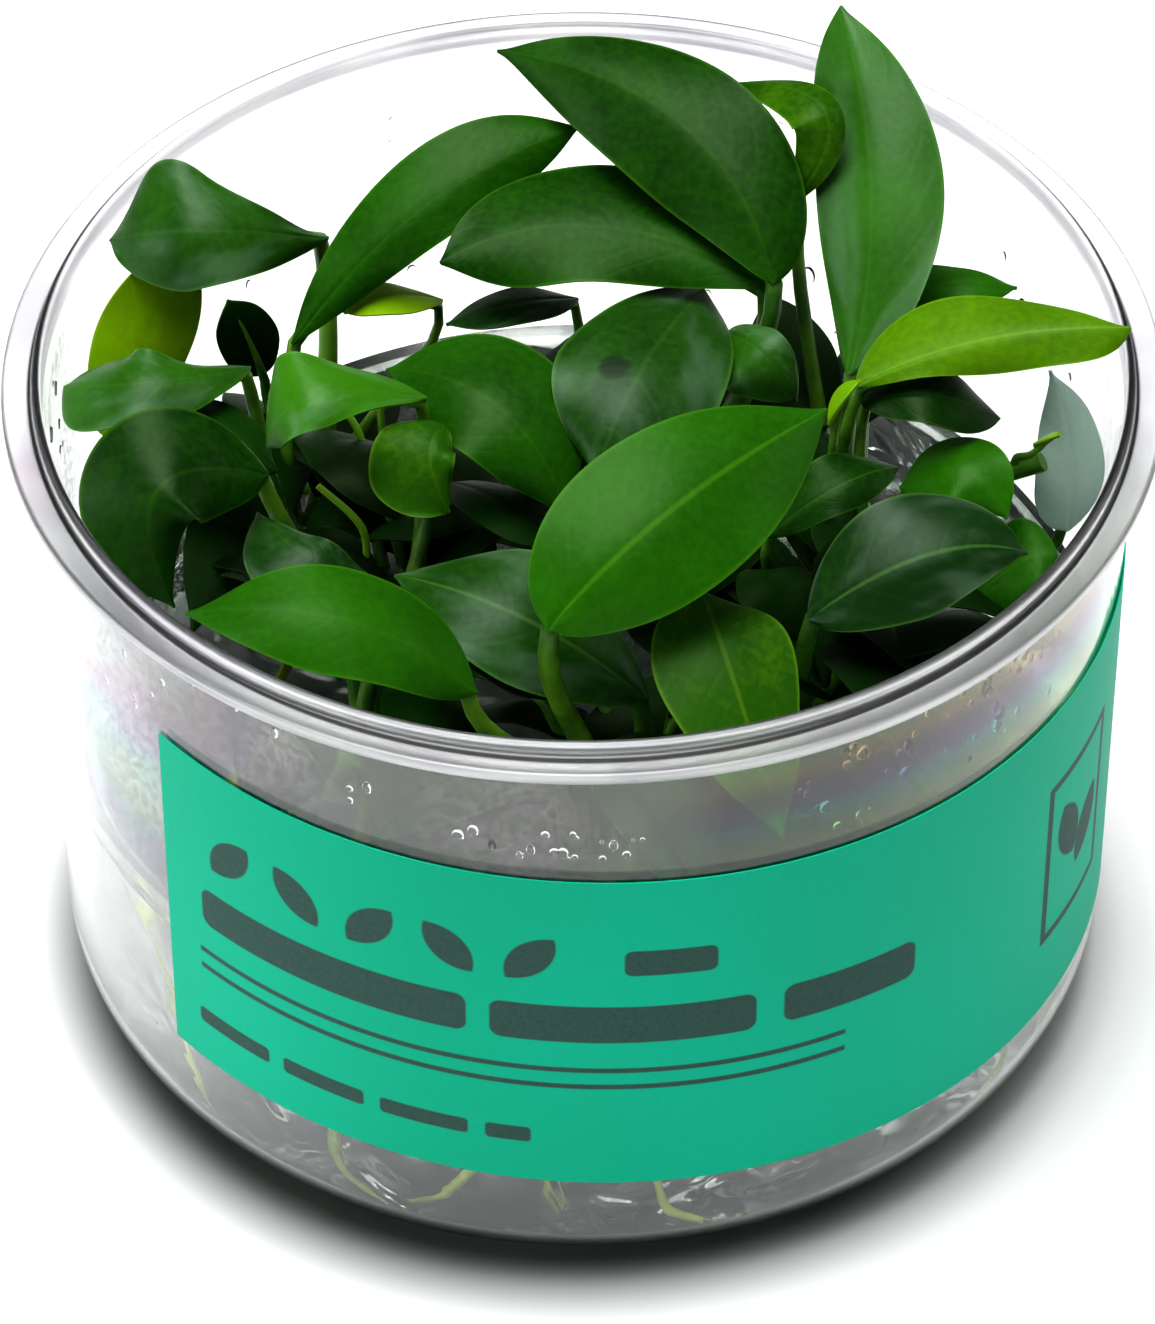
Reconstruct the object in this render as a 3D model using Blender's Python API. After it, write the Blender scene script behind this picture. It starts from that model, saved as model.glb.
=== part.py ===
"""Tissue culture anubias barteri: six young plantlets rooted in clear gel, in an open round clear cup
with a green wrap label. Metres, +Z up, origin at the middle of the cup's flat base."""

import math

import bmesh
import bpy
from mathutils import Matrix, Vector

MM = 0.001
GAP = 0.3  # clearance between pieces that touch

# Cup, in millimetres: outer radius by height, a rounded foot corner, a flange and a raised lip
CUP_SEGMENTS = 36
WALL = 0.9
FLOOR = 1.0
CORNER_RADIUS = 8.0
WALL_FOOT_RADIUS = 46.7
WALL_TOP_RADIUS = 47.4
FLANGE_RADIUS = 50.0
FLANGE_UNDERSIDE = 63.4
FLANGE_TOP = 64.5
LIP_TOP = 65.6
RIM_EDGE = 0.2  # how far the rim's edges are softened
CORNER_STEPS = 3

# Label: a band on the wall that falls a little towards its right end
LABEL_START = -49.0  # degrees round the cup from the front, to the right
LABEL_END = 93.5
LABEL_COLUMNS = 15
LABEL_BOTTOM = 13.2  # at the front
LABEL_HEIGHT = 36.6
LABEL_SLOPE = -0.042  # rise per millimetre round the wall
LABEL_THICKNESS = 0.3

# Gel: its top rises a little where it meets the wall
GEL_TOP = 29.5
GEL_SEGMENTS = 30
MENISCUS_RISE = 0.6
MENISCUS_WIDTH = 1.5

# Plantlets: rhizome centre, heading in degrees and the names of the leaves that grow from it
RHIZOME_RADIUS = 1.9
RHIZOME_Z = GEL_TOP + GAP + RHIZOME_RADIUS
RHIZOME_END = 1.5  # how far it runs on past its last leaf
RHIZOME_SECTIONS = ((-1, 0.45), (-0.75, 0.9), (0, 1.0), (0.75, 0.85), (1, 0.4))  # place, relative radius
FOOT_PITCH = 2.7
FOOT_SIDE = 0.9
PLANTLETS = {
    "rhizome_1": (
        (-25.0, 9.0), 80,
        ("leaf_04", "leaf_06", "leaf_07", "leaf_08", "leaf_28", "leaf_29", "leaf_30"),
    ),
    "rhizome_2": (
        (-18.0, -9.0), 60,
        ("leaf_09", "leaf_11", "leaf_12", "leaf_27", "leaf_34", "leaf_35"),
    ),
    "rhizome_3": (
        (3.0, 6.0), 20,
        ("leaf_01", "leaf_05", "leaf_13", "leaf_14", "leaf_16", "leaf_31"),
    ),
    "rhizome_4": (
        (22.0, 9.0), 70,
        ("leaf_02", "leaf_03", "leaf_17", "leaf_18", "leaf_36"),
    ),
    "rhizome_5": (
        (3.0, -24.0), 0,
        ("leaf_10", "leaf_15", "leaf_25", "leaf_26"),
    ),
    "rhizome_6": (
        (23.0, -9.0), 60,
        ("leaf_19", "leaf_20", "leaf_21", "leaf_22", "leaf_23", "leaf_24", "leaf_32", "leaf_33"),
    ),
}

# Leaves: base, middle and tip of the midrib in millimetres, blade width, roll about the midrib in
# degrees, fold of each half in radians (below 0 the margins hang), and where an even blade is widest
LEAVES = {
    "leaf_01": ((16.5, 10, 66), (8.5, 21, 75), (-7.5, 31, 75), 13.5, -30, -0.6, 0.5),
    "leaf_02": ((23, 5, 60), (25, 16, 71), (22.5, 31, 80), 12, -20, -0.5, 0.55),
    "leaf_03": ((18.5, 18, 69), (21, 20, 77), (13.5, 27, 74.5), 8, 0, -0.5, 0.5),
    "leaf_04": ((-25.5, 12.5, 57), (-14, 19, 67), (-0.5, 26.5, 70), 10, 35, -0.5, 0.6),
    "leaf_05": ((16, 12, 64), (1, 16, 67.5), (-12.5, 14, 65), 14.5, -20, -0.4, 0.5),
    "leaf_06": ((-22.5, 21, 62), (-33, 16, 67), (-41.5, 20, 62.5), 13, -40, -0.5, 0.6),
    "leaf_07": ((-41, 12, 46), (-38.5, 15, 55), (-35, 18, 63), 12.5, 60, -0.2, 0.5),
    "leaf_08": ((-29, 7, 59), (-37.5, 1, 62.5), (-45, 5, 58.5), 8.6, -20, -0.5, 0.65),
    "leaf_09": ((-27, -8, 60), (-36, -14, 63.5), (-35, -16, 52), 13, -20, -0.4, 0.5),
    "leaf_10": ((-9, -33, 58), (-19.5, -34, 67), (-33, -31, 65), 12, -20, -0.5, 0.45),
    "leaf_11": ((-13.5, -1.5, 63), (-23, -6, 67), (-27, -5, 60.5), 9, -20, -0.4, 0.6),
    "leaf_12": ((-12, -4, 62), (-13, -7.5, 61.5), (-11.5, -9.5, 57), 8.5, 0, -0.25, 0.5),
    "leaf_13": ((-1.5, -7, 55), (-7.5, -2, 62.5), (-17, 5, 60.5), 13, -15, -0.5, 0.5),
    "leaf_14": ((10.5, 14.5, 61.5), (5, 1.5, 63.5), (1, -6, 58), 15.5, -10, -0.4, 0.5),
    "leaf_15": ((-3, -32, 64), (7.5, -24.5, 71), (20.5, -11, 70), 15.5, 30, -0.4, 0.45),
    "leaf_16": ((12.5, 10.5, 60), (15.5, 5.5, 62), (18.5, 5, 57), 8, 30, -0.3, 0.5),
    "leaf_17": ((23.5, 0, 63), (34.5, 2, 66.5), (47, 2.5, 67.5), 7.5, 25, -0.8, 0.45),
    "leaf_18": ((26, 17.5, 58), (32, 16, 61), (38, 16.5, 60), 5.5, 10, -0.3, 0.5),
    "leaf_19": ((24, 1.5, 60), (30, 0, 62), (36, 2, 57.5), 6.2, 20, -0.5, 0.6),
    "leaf_20": ((15.5, -11.5, 56), (22, -9.5, 60), (27, -5, 58), 7, 20, -0.4, 0.5),
    "leaf_21": ((19, -23, 57), (29, -20.5, 62), (37.5, -18, 60), 13, 30, -0.5, 0.45),
    "leaf_22": ((27.5, -2, 53), (32.5, -4, 57), (36.5, -7, 54), 8, 20, -0.4, 0.5),
    "leaf_23": ((34, -8.5, 46), (38, -8, 50), (41, -7.5, 50), 9, 20, -0.4, 0.5),
    "leaf_24": ((42.5, 2.5, 44), (42.5, 4, 52), (40.5, 5.5, 60), 7.5, 0, -0.2, 0.35),
    "leaf_25": ((10, -23, 60), (12.5, -31.5, 58), (16.5, -39.5, 48), 12.5, 0, -0.3, 0.42),
    "leaf_26": ((5.5, -23.5, 48), (-5, -23, 57), (-16, -16.5, 56), 14, -20, -0.4, 0.5),
    "leaf_27": ((-17, -14, 52), (-23.5, -14.5, 56.5), (-28, -7.5, 55), 9.5, -15, -0.3, 0.4),
    "leaf_28": ((-26.5, -2, 55), (-31, 0, 58), (-35.5, 5.5, 57), 7, 0, -0.4, 0.5),
    "leaf_29": ((-28.5, 16.5, 50), (-29.5, 13.5, 57), (-31, 12.5, 62), 5.5, 55, -0.3, 0.5),
    "leaf_30": ((-12.5, 19.5, 56), (-17, 16.5, 59), (-21, 15.5, 58), 4.5, 0, -0.2, 0.5),
    "leaf_31": ((-0.5, 18.5, 57), (-6, 15.5, 59), (-12, 14.5, 57.5), 5, 0, -0.2, 0.5),
    "leaf_32": ((21.5, -17, 44), (25, -20.5, 49.5), (31.5, -18.5, 50), 8, 20, -0.3, 0.5),
    "leaf_33": ((14, -11.5, 52), (17, -15, 53), (19.5, -16, 48), 8, 0, -0.3, 0.5),
    "leaf_34": ((-11.5, 2, 50), (-7, -4, 53), (-2, -6.5, 50), 6, 0, -0.3, 0.5),
    "leaf_35": ((-25.5, -23, 36), (-25, -30.5, 47), (-24.5, -38.5, 60), 7, 0, -0.2, 0.4),
    "leaf_36": ((21, -5.5, 63.5), (22, -5.5, 66), (23.5, -5.5, 68.5), 2.6, 0, 0.9, 0.5),
}

# Uneven blades: left and right half, seen from the base, each with its width as a share of half the
# blade's, where it is widest, and the power of its outline (below 1.5 it is fuller towards both ends)
UNEVEN_BLADES = {
    "leaf_01": ((1, 0.5, 1.5), (1, 0.42, 1.4)),
    "leaf_02": ((0.95, 0.62, 1.1), (1.05, 0.5, 1.5)),
    "leaf_03": ((0.8, 0.5, 1), (0.45, 0.5, 1)),
    "leaf_04": ((1, 0.6, 1.5), (0.7, 0.6, 1.3)),
    "leaf_05": ((0.75, 0.6, 1.2), (1, 0.5, 1.5)),
    "leaf_06": ((0.8, 0.6, 1.3), (1.1, 0.74, 2)),
    "leaf_07": ((0.75, 0.5, 0.8), (0.7, 0.5, 0.8)),
    "leaf_08": ((1, 0.8, 0.8), (1.1, 0.85, 0.8)),
    "leaf_09": ((0.7, 0.35, 1.3), (1.15, 0.5, 1.3)),
    "leaf_10": ((0.8, 0.5, 1.3), (1, 0.45, 1.5)),
    "leaf_11": ((0.6, 0.6, 1.2), (1.25, 0.7, 1.2)),
    "leaf_12": ((0.5, 0.4, 1.4), (1.3, 0.6, 1.1)),
    "leaf_13": ((0.8, 0.5, 1.5), (1.2, 0.55, 1.5)),
    "leaf_14": ((0.95, 0.48, 1.2), (1, 0.5, 1.5)),
    "leaf_15": ((1, 0.42, 1.3), (0.95, 0.5, 1.3)),
    "leaf_16": ((0.6, 0.5, 1.2), (1.1, 0.5, 1.2)),
    "leaf_17": ((1.65, 0.36, 1.9), (0.9, 0.8, 0.9)),
    "leaf_18": ((1, 0.25, 1.2), (1, 0.5, 1.5)),
    "leaf_19": ((1, 0.6, 0.9), (0.9, 0.6, 0.9)),
    "leaf_20": ((1, 0.5, 1.5), (0.65, 0.5, 1.3)),
    "leaf_21": ((1, 0.45, 1.5), (0.75, 0.4, 1.4)),
    "leaf_26": ((0.8, 0.5, 1.5), (1, 0.5, 1.5)),
    "leaf_27": ((1.1, 0.45, 1.4), (0.5, 0.4, 1.4)),
    "leaf_29": ((1, 0.5, 1.2), (1, 0.5, 1.2)),
}

# Leaves that have just opened, which are a brighter green
YOUNG_LEAVES = ("leaf_03", "leaf_07", "leaf_12", "leaf_17", "leaf_25", "leaf_36")

# Cut stem at the right: its axis from the rhizome to the cut end, and the shoot that grows beside it
CUT_STEM = ((28.5, -3, 34), (30.5, 0.5, 42), (33.5, 2, 49), (40, 1.5, 53))
CUT_STEM_RADIUS = 0.9
CUT_STEM_STEPS = 2  # rings from one place to the next
CUT_STEM_RING = 5
SHOOT_FOOT = (37.5, 0.2, 54)
SHOOT = ((39, -0.8, 57), (40, -1.8, 58.5), (41, -2.8, 60), 1.5, 0, 0.6, 0.5)

# Roots: the places each passes through on its way down from a rhizome
ROOT_RADIUS = 0.42
ROOT_TAPER = 0.8  # relative radius at its far end
ROOT_TOP = GEL_TOP - 0.1
CHANNEL_RADIUS = ROOT_RADIUS + GAP + 0.05
CHANNEL_RISE = 3.0  # how far a channel's cutter stands over the gel
ROOTS = {
    "root_1": ((-18.5, -12), (-20, -26, 19), (-20.5, -36.5, 8), (-16.5, -39, 3.8)),
    "root_2": ((-2, -25), (-5, -33, 16), (-10.5, -38, 6.5), (-14.5, -37.5, 3.6)),
    "root_3": ((5, -25), (6, -33, 15), (6.5, -39.5, 5.5), (13, -40.5, 3.8)),
    "root_4": ((22, -12), (30, -22, 18), (36, -26, 9), (31.5, -30, 4.5)),
    "root_5": ((25, -6), (34, -14, 20), (40.5, -18, 12), (39, -22, 7)),
    "root_6": ((-24.5, 6), (-31, -10, 22), (-33.5, -25, 14), (-31.5, -29.5, 6)),
    "root_7": ((2, 5), (4, -6, 15), (-1, -24, 7), (-2, -39.5, 4.6)),
    "root_8": ((22, 10), (30, 14, 17), (37, 11, 8), (36, 2, 4)),
}
ROOT_STEPS = 2  # rings from one place to the next
ROOT_RING = 5
ACROSS_ROOT = (0.36, 0.93, 0.1)  # a direction that no root or stem runs along

# Leaf sections: where they lie along the blade and the stalk, and how thick they are
BLADE_STATIONS = (0.0, 0.07, 0.2, 0.36, 0.52, 0.68, 0.84, 1.0)
STALK_STATIONS = (0.0, 0.3, 0.65)
BLADE_THICKNESS = 0.45
RIB_THICKNESS = 0.9
BLADE_THINNING = 0.6  # share of its thickness that a blade loses towards its tip
RIB_THINNING = 0.75
CREST = 0.05  # how far the midrib's upper side stands over the blade's middle
TIP_HALF_WIDTH = 0.15
OUTLINE_POWER = 1.5
RING = 8

# Leaf stalks: thickness by the width of the blade, and how they bend from upright into the blade
STALK_RADIUS = 0.3
STALK_GROWTH = 0.045  # added radius per millimetre of blade width
STALK_FOOT = 1.15  # relative radius at the rhizome
STALK_NECK = 0.9  # relative radius where the blade starts
STALK_RISE = 0.4  # share of its length over which it leaves the rhizome upright
STALK_DROP = 0.25  # share of its length that it hangs below the blade before it joins
STALK_LEAD = 2.0  # millimetres in line with the blade before it joins


def clear_scene():
    for thing in list(bpy.data.objects):
        bpy.data.objects.remove(thing, do_unlink=True)


def material(name, colour, roughness, transmission=0.0, ior=1.45):
    made = bpy.data.materials.new(name)
    made.use_nodes = True
    shader = made.node_tree.nodes["Principled BSDF"]
    shader.inputs["Base Color"].default_value = (*colour, 1.0)
    shader.inputs["Roughness"].default_value = roughness
    shader.inputs["Metallic"].default_value = 0.0
    shader.inputs["Transmission Weight"].default_value = transmission
    shader.inputs["IOR"].default_value = ior
    return made


def add_object(name, mesh_tool, finish, smooth_angle=50.0):
    """Turns a bmesh in millimetres into a named object in metres, faces outwards."""
    bmesh.ops.scale(mesh_tool, vec=(MM, MM, MM), verts=mesh_tool.verts)
    bmesh.ops.recalc_face_normals(mesh_tool, faces=mesh_tool.faces)
    mesh = bpy.data.meshes.new(name)
    mesh_tool.to_mesh(mesh)
    mesh_tool.free()
    mesh.shade_smooth()
    mesh.set_sharp_from_angle(angle=math.radians(smooth_angle))
    thing = bpy.data.objects.new(name, mesh)
    thing.data.materials.append(finish)
    bpy.context.scene.collection.objects.link(thing)
    return thing


def arc(centre, radius, start, end, steps):
    """Points on an arc in the r, z plane, without its two ends."""
    found = []
    for step in range(1, steps):
        angle = math.radians(start + (end - start) * step / steps)
        found.append((centre[0] + radius * math.cos(angle), centre[1] + radius * math.sin(angle)))
    return found


def lathe(profile, segments):
    """A closed body from an r, z profile that starts and ends on the axis."""
    mesh_tool = bmesh.new()
    verts = [mesh_tool.verts.new((r, 0, z)) for r, z in profile]
    edges = [mesh_tool.edges.new(pair) for pair in zip(verts, verts[1:])]
    bmesh.ops.spin(
        mesh_tool, geom=verts + edges, cent=(0, 0, 0), axis=(0, 0, 1),
        angle=2 * math.pi, steps=segments, use_merge=True,
    )
    bmesh.ops.remove_doubles(mesh_tool, verts=mesh_tool.verts, dist=1e-4)
    return mesh_tool


def wall_radius(z):
    """Outer radius of the tapered wall at a height above the foot corner."""
    share = (z - CORNER_RADIUS) / (FLANGE_UNDERSIDE - CORNER_RADIUS)
    return WALL_FOOT_RADIUS + (WALL_TOP_RADIUS - WALL_FOOT_RADIUS) * share


def build_cup(finish):
    flat = WALL_FOOT_RADIUS - CORNER_RADIUS
    inner_corner = CORNER_RADIUS - WALL
    outer = [(0, 0), (flat, 0)]
    outer += arc((flat, CORNER_RADIUS), CORNER_RADIUS, -90, 0, CORNER_STEPS)
    outer += [(WALL_FOOT_RADIUS, CORNER_RADIUS), (WALL_TOP_RADIUS, FLANGE_UNDERSIDE)]
    flange = [
        (FLANGE_RADIUS - RIM_EDGE, FLANGE_UNDERSIDE),
        (FLANGE_RADIUS, FLANGE_UNDERSIDE + RIM_EDGE),
        (FLANGE_RADIUS, FLANGE_TOP - RIM_EDGE),
        (FLANGE_RADIUS - RIM_EDGE, FLANGE_TOP),
        (WALL_TOP_RADIUS, FLANGE_TOP),
        (WALL_TOP_RADIUS, LIP_TOP - RIM_EDGE),
        (WALL_TOP_RADIUS - RIM_EDGE, LIP_TOP),
        (WALL_TOP_RADIUS - WALL + RIM_EDGE, LIP_TOP),
        (WALL_TOP_RADIUS - WALL, LIP_TOP - RIM_EDGE),
    ]
    inner = [(WALL_FOOT_RADIUS - WALL, CORNER_RADIUS)]
    inner += arc((flat, CORNER_RADIUS), inner_corner, 0, -90, CORNER_STEPS)
    inner += [(flat, FLOOR), (0, FLOOR)]
    return add_object("cup", lathe(outer + flange + inner, CUP_SEGMENTS), finish, 30)


def on_wall(angle, z, off):
    """A point off the outside of the wall, at an angle from the front towards the right."""
    turn = math.radians(angle)
    radius = wall_radius(z) + off
    return Vector((radius * math.sin(turn), -radius * math.cos(turn), z))


def build_label(finish):
    """A thin band: columns of four corners, joined in turn and capped at both ends."""
    mesh_tool = bmesh.new()
    columns = []
    for column in range(LABEL_COLUMNS + 1):
        angle = LABEL_START + (LABEL_END - LABEL_START) * column / LABEL_COLUMNS
        bottom = LABEL_BOTTOM + LABEL_SLOPE * WALL_TOP_RADIUS * math.radians(angle)
        top = bottom + LABEL_HEIGHT
        corners = [
            on_wall(angle, bottom, GAP), on_wall(angle, bottom, GAP + LABEL_THICKNESS),
            on_wall(angle, top, GAP + LABEL_THICKNESS), on_wall(angle, top, GAP),
        ]
        columns.append([mesh_tool.verts.new(corner) for corner in corners])
    for here, there in zip(columns, columns[1:]):
        for corner in range(4):
            after = (corner + 1) % 4
            mesh_tool.faces.new((here[corner], here[after], there[after], there[corner]))
    mesh_tool.faces.new(columns[0])
    mesh_tool.faces.new(columns[-1])
    return add_object("label", mesh_tool, finish, 30)


def build_gel(finish):
    flat = WALL_FOOT_RADIUS - CORNER_RADIUS
    corner = CORNER_RADIUS - WALL - GAP
    side = WALL_FOOT_RADIUS - WALL - GAP
    profile = [(0, FLOOR + GAP), (flat, FLOOR + GAP)]
    profile += arc((flat, CORNER_RADIUS), corner, -90, 0, CORNER_STEPS)
    profile += [
        (side, CORNER_RADIUS), (side, GEL_TOP + MENISCUS_RISE),
        (side - MENISCUS_WIDTH, GEL_TOP), (0, GEL_TOP),
    ]
    return add_object("gel", lathe(profile, GEL_SEGMENTS), finish, 30)


def midrib(base, middle, tip, share):
    """Point and direction on the quadratic curve that passes through the three points."""
    pull = 2 * middle - (base + tip) / 2
    rest = 1 - share
    point = rest * rest * base + 2 * rest * share * pull + share * share * tip
    heading = rest * (pull - base) + share * (tip - pull)
    return point, heading.normalized()


def stalk(foot, base, heading, share):
    """Point and direction on the leaf stalk, which rises from the rhizome and bends into the blade."""
    length = (base - foot).length
    up = Vector((0, 0, 1))
    lower = foot + up * STALK_RISE * length
    upper = base - heading * STALK_LEAD - up * STALK_DROP * length
    rest = 1 - share
    point = (
        rest ** 3 * foot + 3 * rest * rest * share * lower
        + 3 * rest * share * share * upper + share ** 3 * base
    )
    slope = (
        rest * rest * (lower - foot) + 2 * rest * share * (upper - lower)
        + share * share * (base - upper)
    )
    return point, slope.normalized()


def blade_half_width(width, peak, power, share):
    """Half the width along the blade: it swells from the stalk and narrows to a pointed tip."""
    a = power * peak
    b = power * (1 - peak)
    most = peak ** a * (1 - peak) ** b
    inner = min(max(share, 1e-4), 1 - 1e-4)
    return max(width / 2 * inner ** a * (1 - inner) ** b / most, TIP_HALF_WIDTH)


def blade_halves(name, width, peak, share):
    """Widths of the left and the right half of a blade at one place along it."""
    even = (1.0, peak, OUTLINE_POWER)
    halves = UNEVEN_BLADES.get(name, (even, even))
    return [blade_half_width(width * size, place, power, share) for size, place, power in halves]


def across(value, fold):
    """Place across a folded half blade: sideways and up, for a half width of 1."""
    if abs(fold) < 1e-3:
        return value, 0.0
    bent = fold * abs(value)
    return math.copysign(math.sin(abs(bent)) / abs(fold), value), (1 - math.cos(bent)) / fold


def round_ring(point, side, up, radius, count=RING):
    ring = []
    for step in range(count):
        angle = 2 * math.pi * step / count
        ring.append(point + side * radius * math.cos(angle) + up * radius * math.sin(angle))
    return ring


def blade_ring(point, side, up, halves, fold, share):
    """Eight points round a lens shaped section, in the same order as round_ring."""
    thick = BLADE_THICKNESS * (1 - BLADE_THINNING * share)
    rib = RIB_THICKNESS * (1 - RIB_THINNING * share)
    ring = []
    for value, lift in (
        (1.0, 0.0), (0.5, thick / 2), (0.0, CREST), (-0.5, thick / 2),
        (-1.0, 0.0), (-0.5, -thick / 2), (0.0, -rib), (0.5, -thick / 2),
    ):
        half = halves[1] if value > 0 else halves[0]
        sideways, rise = across(value, fold)
        ring.append(point + side * half * sideways + up * (half * rise + lift))
    return ring


def frame_of(heading, up):
    side = heading.cross(up).normalized()
    return side, side.cross(heading).normalized()


def build_leaf(name, spec, foot, finish):
    base, middle, tip = (Vector(place) for place in spec[:3])
    width, roll, fold, peak = spec[3:]
    chord = (tip - base).normalized()
    upright = Vector((0, 0, 1))
    upright = (upright - chord * upright.dot(chord)).normalized()
    upright = Matrix.Rotation(math.radians(roll), 3, chord) @ upright
    radius = STALK_RADIUS + STALK_GROWTH * width
    start = midrib(base, middle, tip, 0.0)[1]
    rings = []
    for share in STALK_STATIONS:
        point, heading = stalk(foot, base, start, share)
        side, up = frame_of(heading, upright)
        swell = STALK_FOOT if share == 0 else 1.0
        rings.append(round_ring(point, side, up, radius * swell))
    for share in BLADE_STATIONS:
        point, heading = midrib(base, middle, tip, share)
        side, up = frame_of(heading, upright)
        if share == 0:
            rings.append(round_ring(point, side, up, radius * STALK_NECK))
        else:
            halves = blade_halves(name, width, peak, share)
            rings.append(blade_ring(point, side, up, halves, fold, share))
    return add_object(name, loft(rings), finish, 60)


def loft(rings):
    """Bridges rings of equal count into one closed tube."""
    mesh_tool = bmesh.new()
    loops = [[mesh_tool.verts.new(point) for point in ring] for ring in rings]
    for here, there in zip(loops, loops[1:]):
        for step in range(len(here)):
            after = (step + 1) % len(here)
            mesh_tool.faces.new((here[step], here[after], there[after], there[step]))
    mesh_tool.faces.new(loops[0])
    mesh_tool.faces.new(loops[-1])
    return mesh_tool


def build_rhizome(name, centre, heading, count, finish):
    """A short creeping stem, round at both ends."""
    turn = math.radians(heading)
    along = Vector((math.cos(turn), math.sin(turn), 0))
    side, up = frame_of(along, Vector((0, 0, 1)))
    half = (count - 1) / 2 * FOOT_PITCH + RHIZOME_END
    middle = Vector((*centre, RHIZOME_Z))
    rings = []
    for share, size in RHIZOME_SECTIONS:
        rings.append(round_ring(middle + along * half * share, side, up, RHIZOME_RADIUS * size))
    return add_object(name, loft(rings), finish, 60)


def feet_of(centre, heading, names):
    """Where each leaf stalk starts: in a row on the rhizome, in the order in which the leaves lie."""
    turn = math.radians(heading)
    along = Vector((math.cos(turn), math.sin(turn), 0))
    beside = Vector((-along.y, along.x, 0))
    middle = Vector((*centre, 0))
    order = sorted(names, key=lambda name: (Vector(LEAVES[name][0]) - middle).dot(along))
    feet = {}
    for place, name in enumerate(order):
        reach = (place - (len(order) - 1) / 2) * FOOT_PITCH
        lean = math.copysign(FOOT_SIDE, (Vector(LEAVES[name][0]) - middle).dot(beside))
        foot = middle + along * reach + beside * lean
        foot.z = RHIZOME_Z + RHIZOME_RADIUS + GAP
        feet[name] = foot
    return feet


def through(places, share):
    """Point and direction on a smooth curve through the places, share 0 to 1 (Catmull-Rom)."""
    spans = len(places) - 1
    span = min(int(share * spans), spans - 1)
    part = share * spans - span
    before = places[span - 1] if span else places[0] * 2 - places[1]
    here, there = places[span], places[span + 1]
    after = places[span + 2] if span + 2 <= spans else places[-1] * 2 - places[-2]
    linear = (there - before) / 2
    square = before - here * 2.5 + there * 2 - after / 2
    cube = (here - there) * 1.5 + (after - before) / 2
    point = here + linear * part + square * part ** 2 + cube * part ** 3
    return point, (linear + square * 2 * part + cube * 3 * part ** 2).normalized()


def tube(places, radius, steps, count, taper=1.0):
    """A round rod along the curve through the places, thinner towards its far end."""
    rings = []
    last = steps * (len(places) - 1)
    for station in range(last + 1):
        share = station / last
        point, heading = through(places, share)
        side, up = frame_of(heading, Vector(ACROSS_ROOT))
        rings.append(round_ring(point, side, up, radius * (1 + (taper - 1) * share), count))
    return loft(rings)


def build_root(name, places, finish, gel):
    """A root in the gel, and the channel that it runs in, cut from the gel's top."""
    (x, y), *rest = places
    way = [Vector((x, y, ROOT_TOP))] + [Vector(place) for place in rest]
    add_object(name, tube(way, ROOT_RADIUS, ROOT_STEPS, ROOT_RING, ROOT_TAPER), finish)
    beyond = (way[-1] - way[-2]).normalized() * 2 * GAP
    longer = [way[0] + Vector((0, 0, CHANNEL_RISE))] + way[:-1] + [way[-1] + beyond]
    channel = tube(longer, CHANNEL_RADIUS, ROOT_STEPS, ROOT_RING)
    cutter = add_object(name + "_channel", channel, finish)
    cutter.hide_render = True
    cutter.display_type = "WIRE"
    cut = gel.modifiers.new(name, "BOOLEAN")
    cut.operation = "DIFFERENCE"
    cut.object = cutter
    cut.solver = "EXACT"


def build_cut_stem(finish, leaf):
    """The stub of a stem that was cut, with a young shoot beside its cut end."""
    way = [Vector(place) for place in CUT_STEM]
    add_object("cut_stem", tube(way, CUT_STEM_RADIUS, CUT_STEM_STEPS, CUT_STEM_RING), finish)
    build_leaf("shoot", SHOOT, Vector(SHOOT_FOOT), leaf)


def main():
    clear_scene()
    clear_plastic = material("clear_plastic", (0.95, 0.97, 0.97), 0.03, 1.0, 1.5)
    gel = material("gel", (0.85, 0.88, 0.86), 0.1, 1.0, 1.34)
    label = material("label", (0.01, 0.42, 0.27), 0.45)
    leaf = material("leaf", (0.02, 0.16, 0.01), 0.3)
    young_leaf = material("young_leaf", (0.13, 0.33, 0.02), 0.35)
    stem = material("stem", (0.1, 0.25, 0.02), 0.45)
    root = material("root", (0.45, 0.55, 0.15), 0.4)
    build_cup(clear_plastic)
    build_label(label)
    gel_body = build_gel(gel)
    for name, (centre, heading, leaves) in PLANTLETS.items():
        build_rhizome(name, centre, heading, len(leaves), stem)
        for leaf_name, foot in feet_of(centre, heading, leaves).items():
            finish = young_leaf if leaf_name in YOUNG_LEAVES else leaf
            build_leaf(leaf_name, LEAVES[leaf_name], foot, finish)
    build_cut_stem(stem, young_leaf)
    for name, places in ROOTS.items():
        build_root(name, places, root, gel_body)


main()
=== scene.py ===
"""Looks of the tissue culture plants in their open clear cup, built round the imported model.
Lengths are in millimetres and are scaled to metres where a mesh is made."""

import math
import random

import bpy
from mathutils import Matrix, Vector


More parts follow.
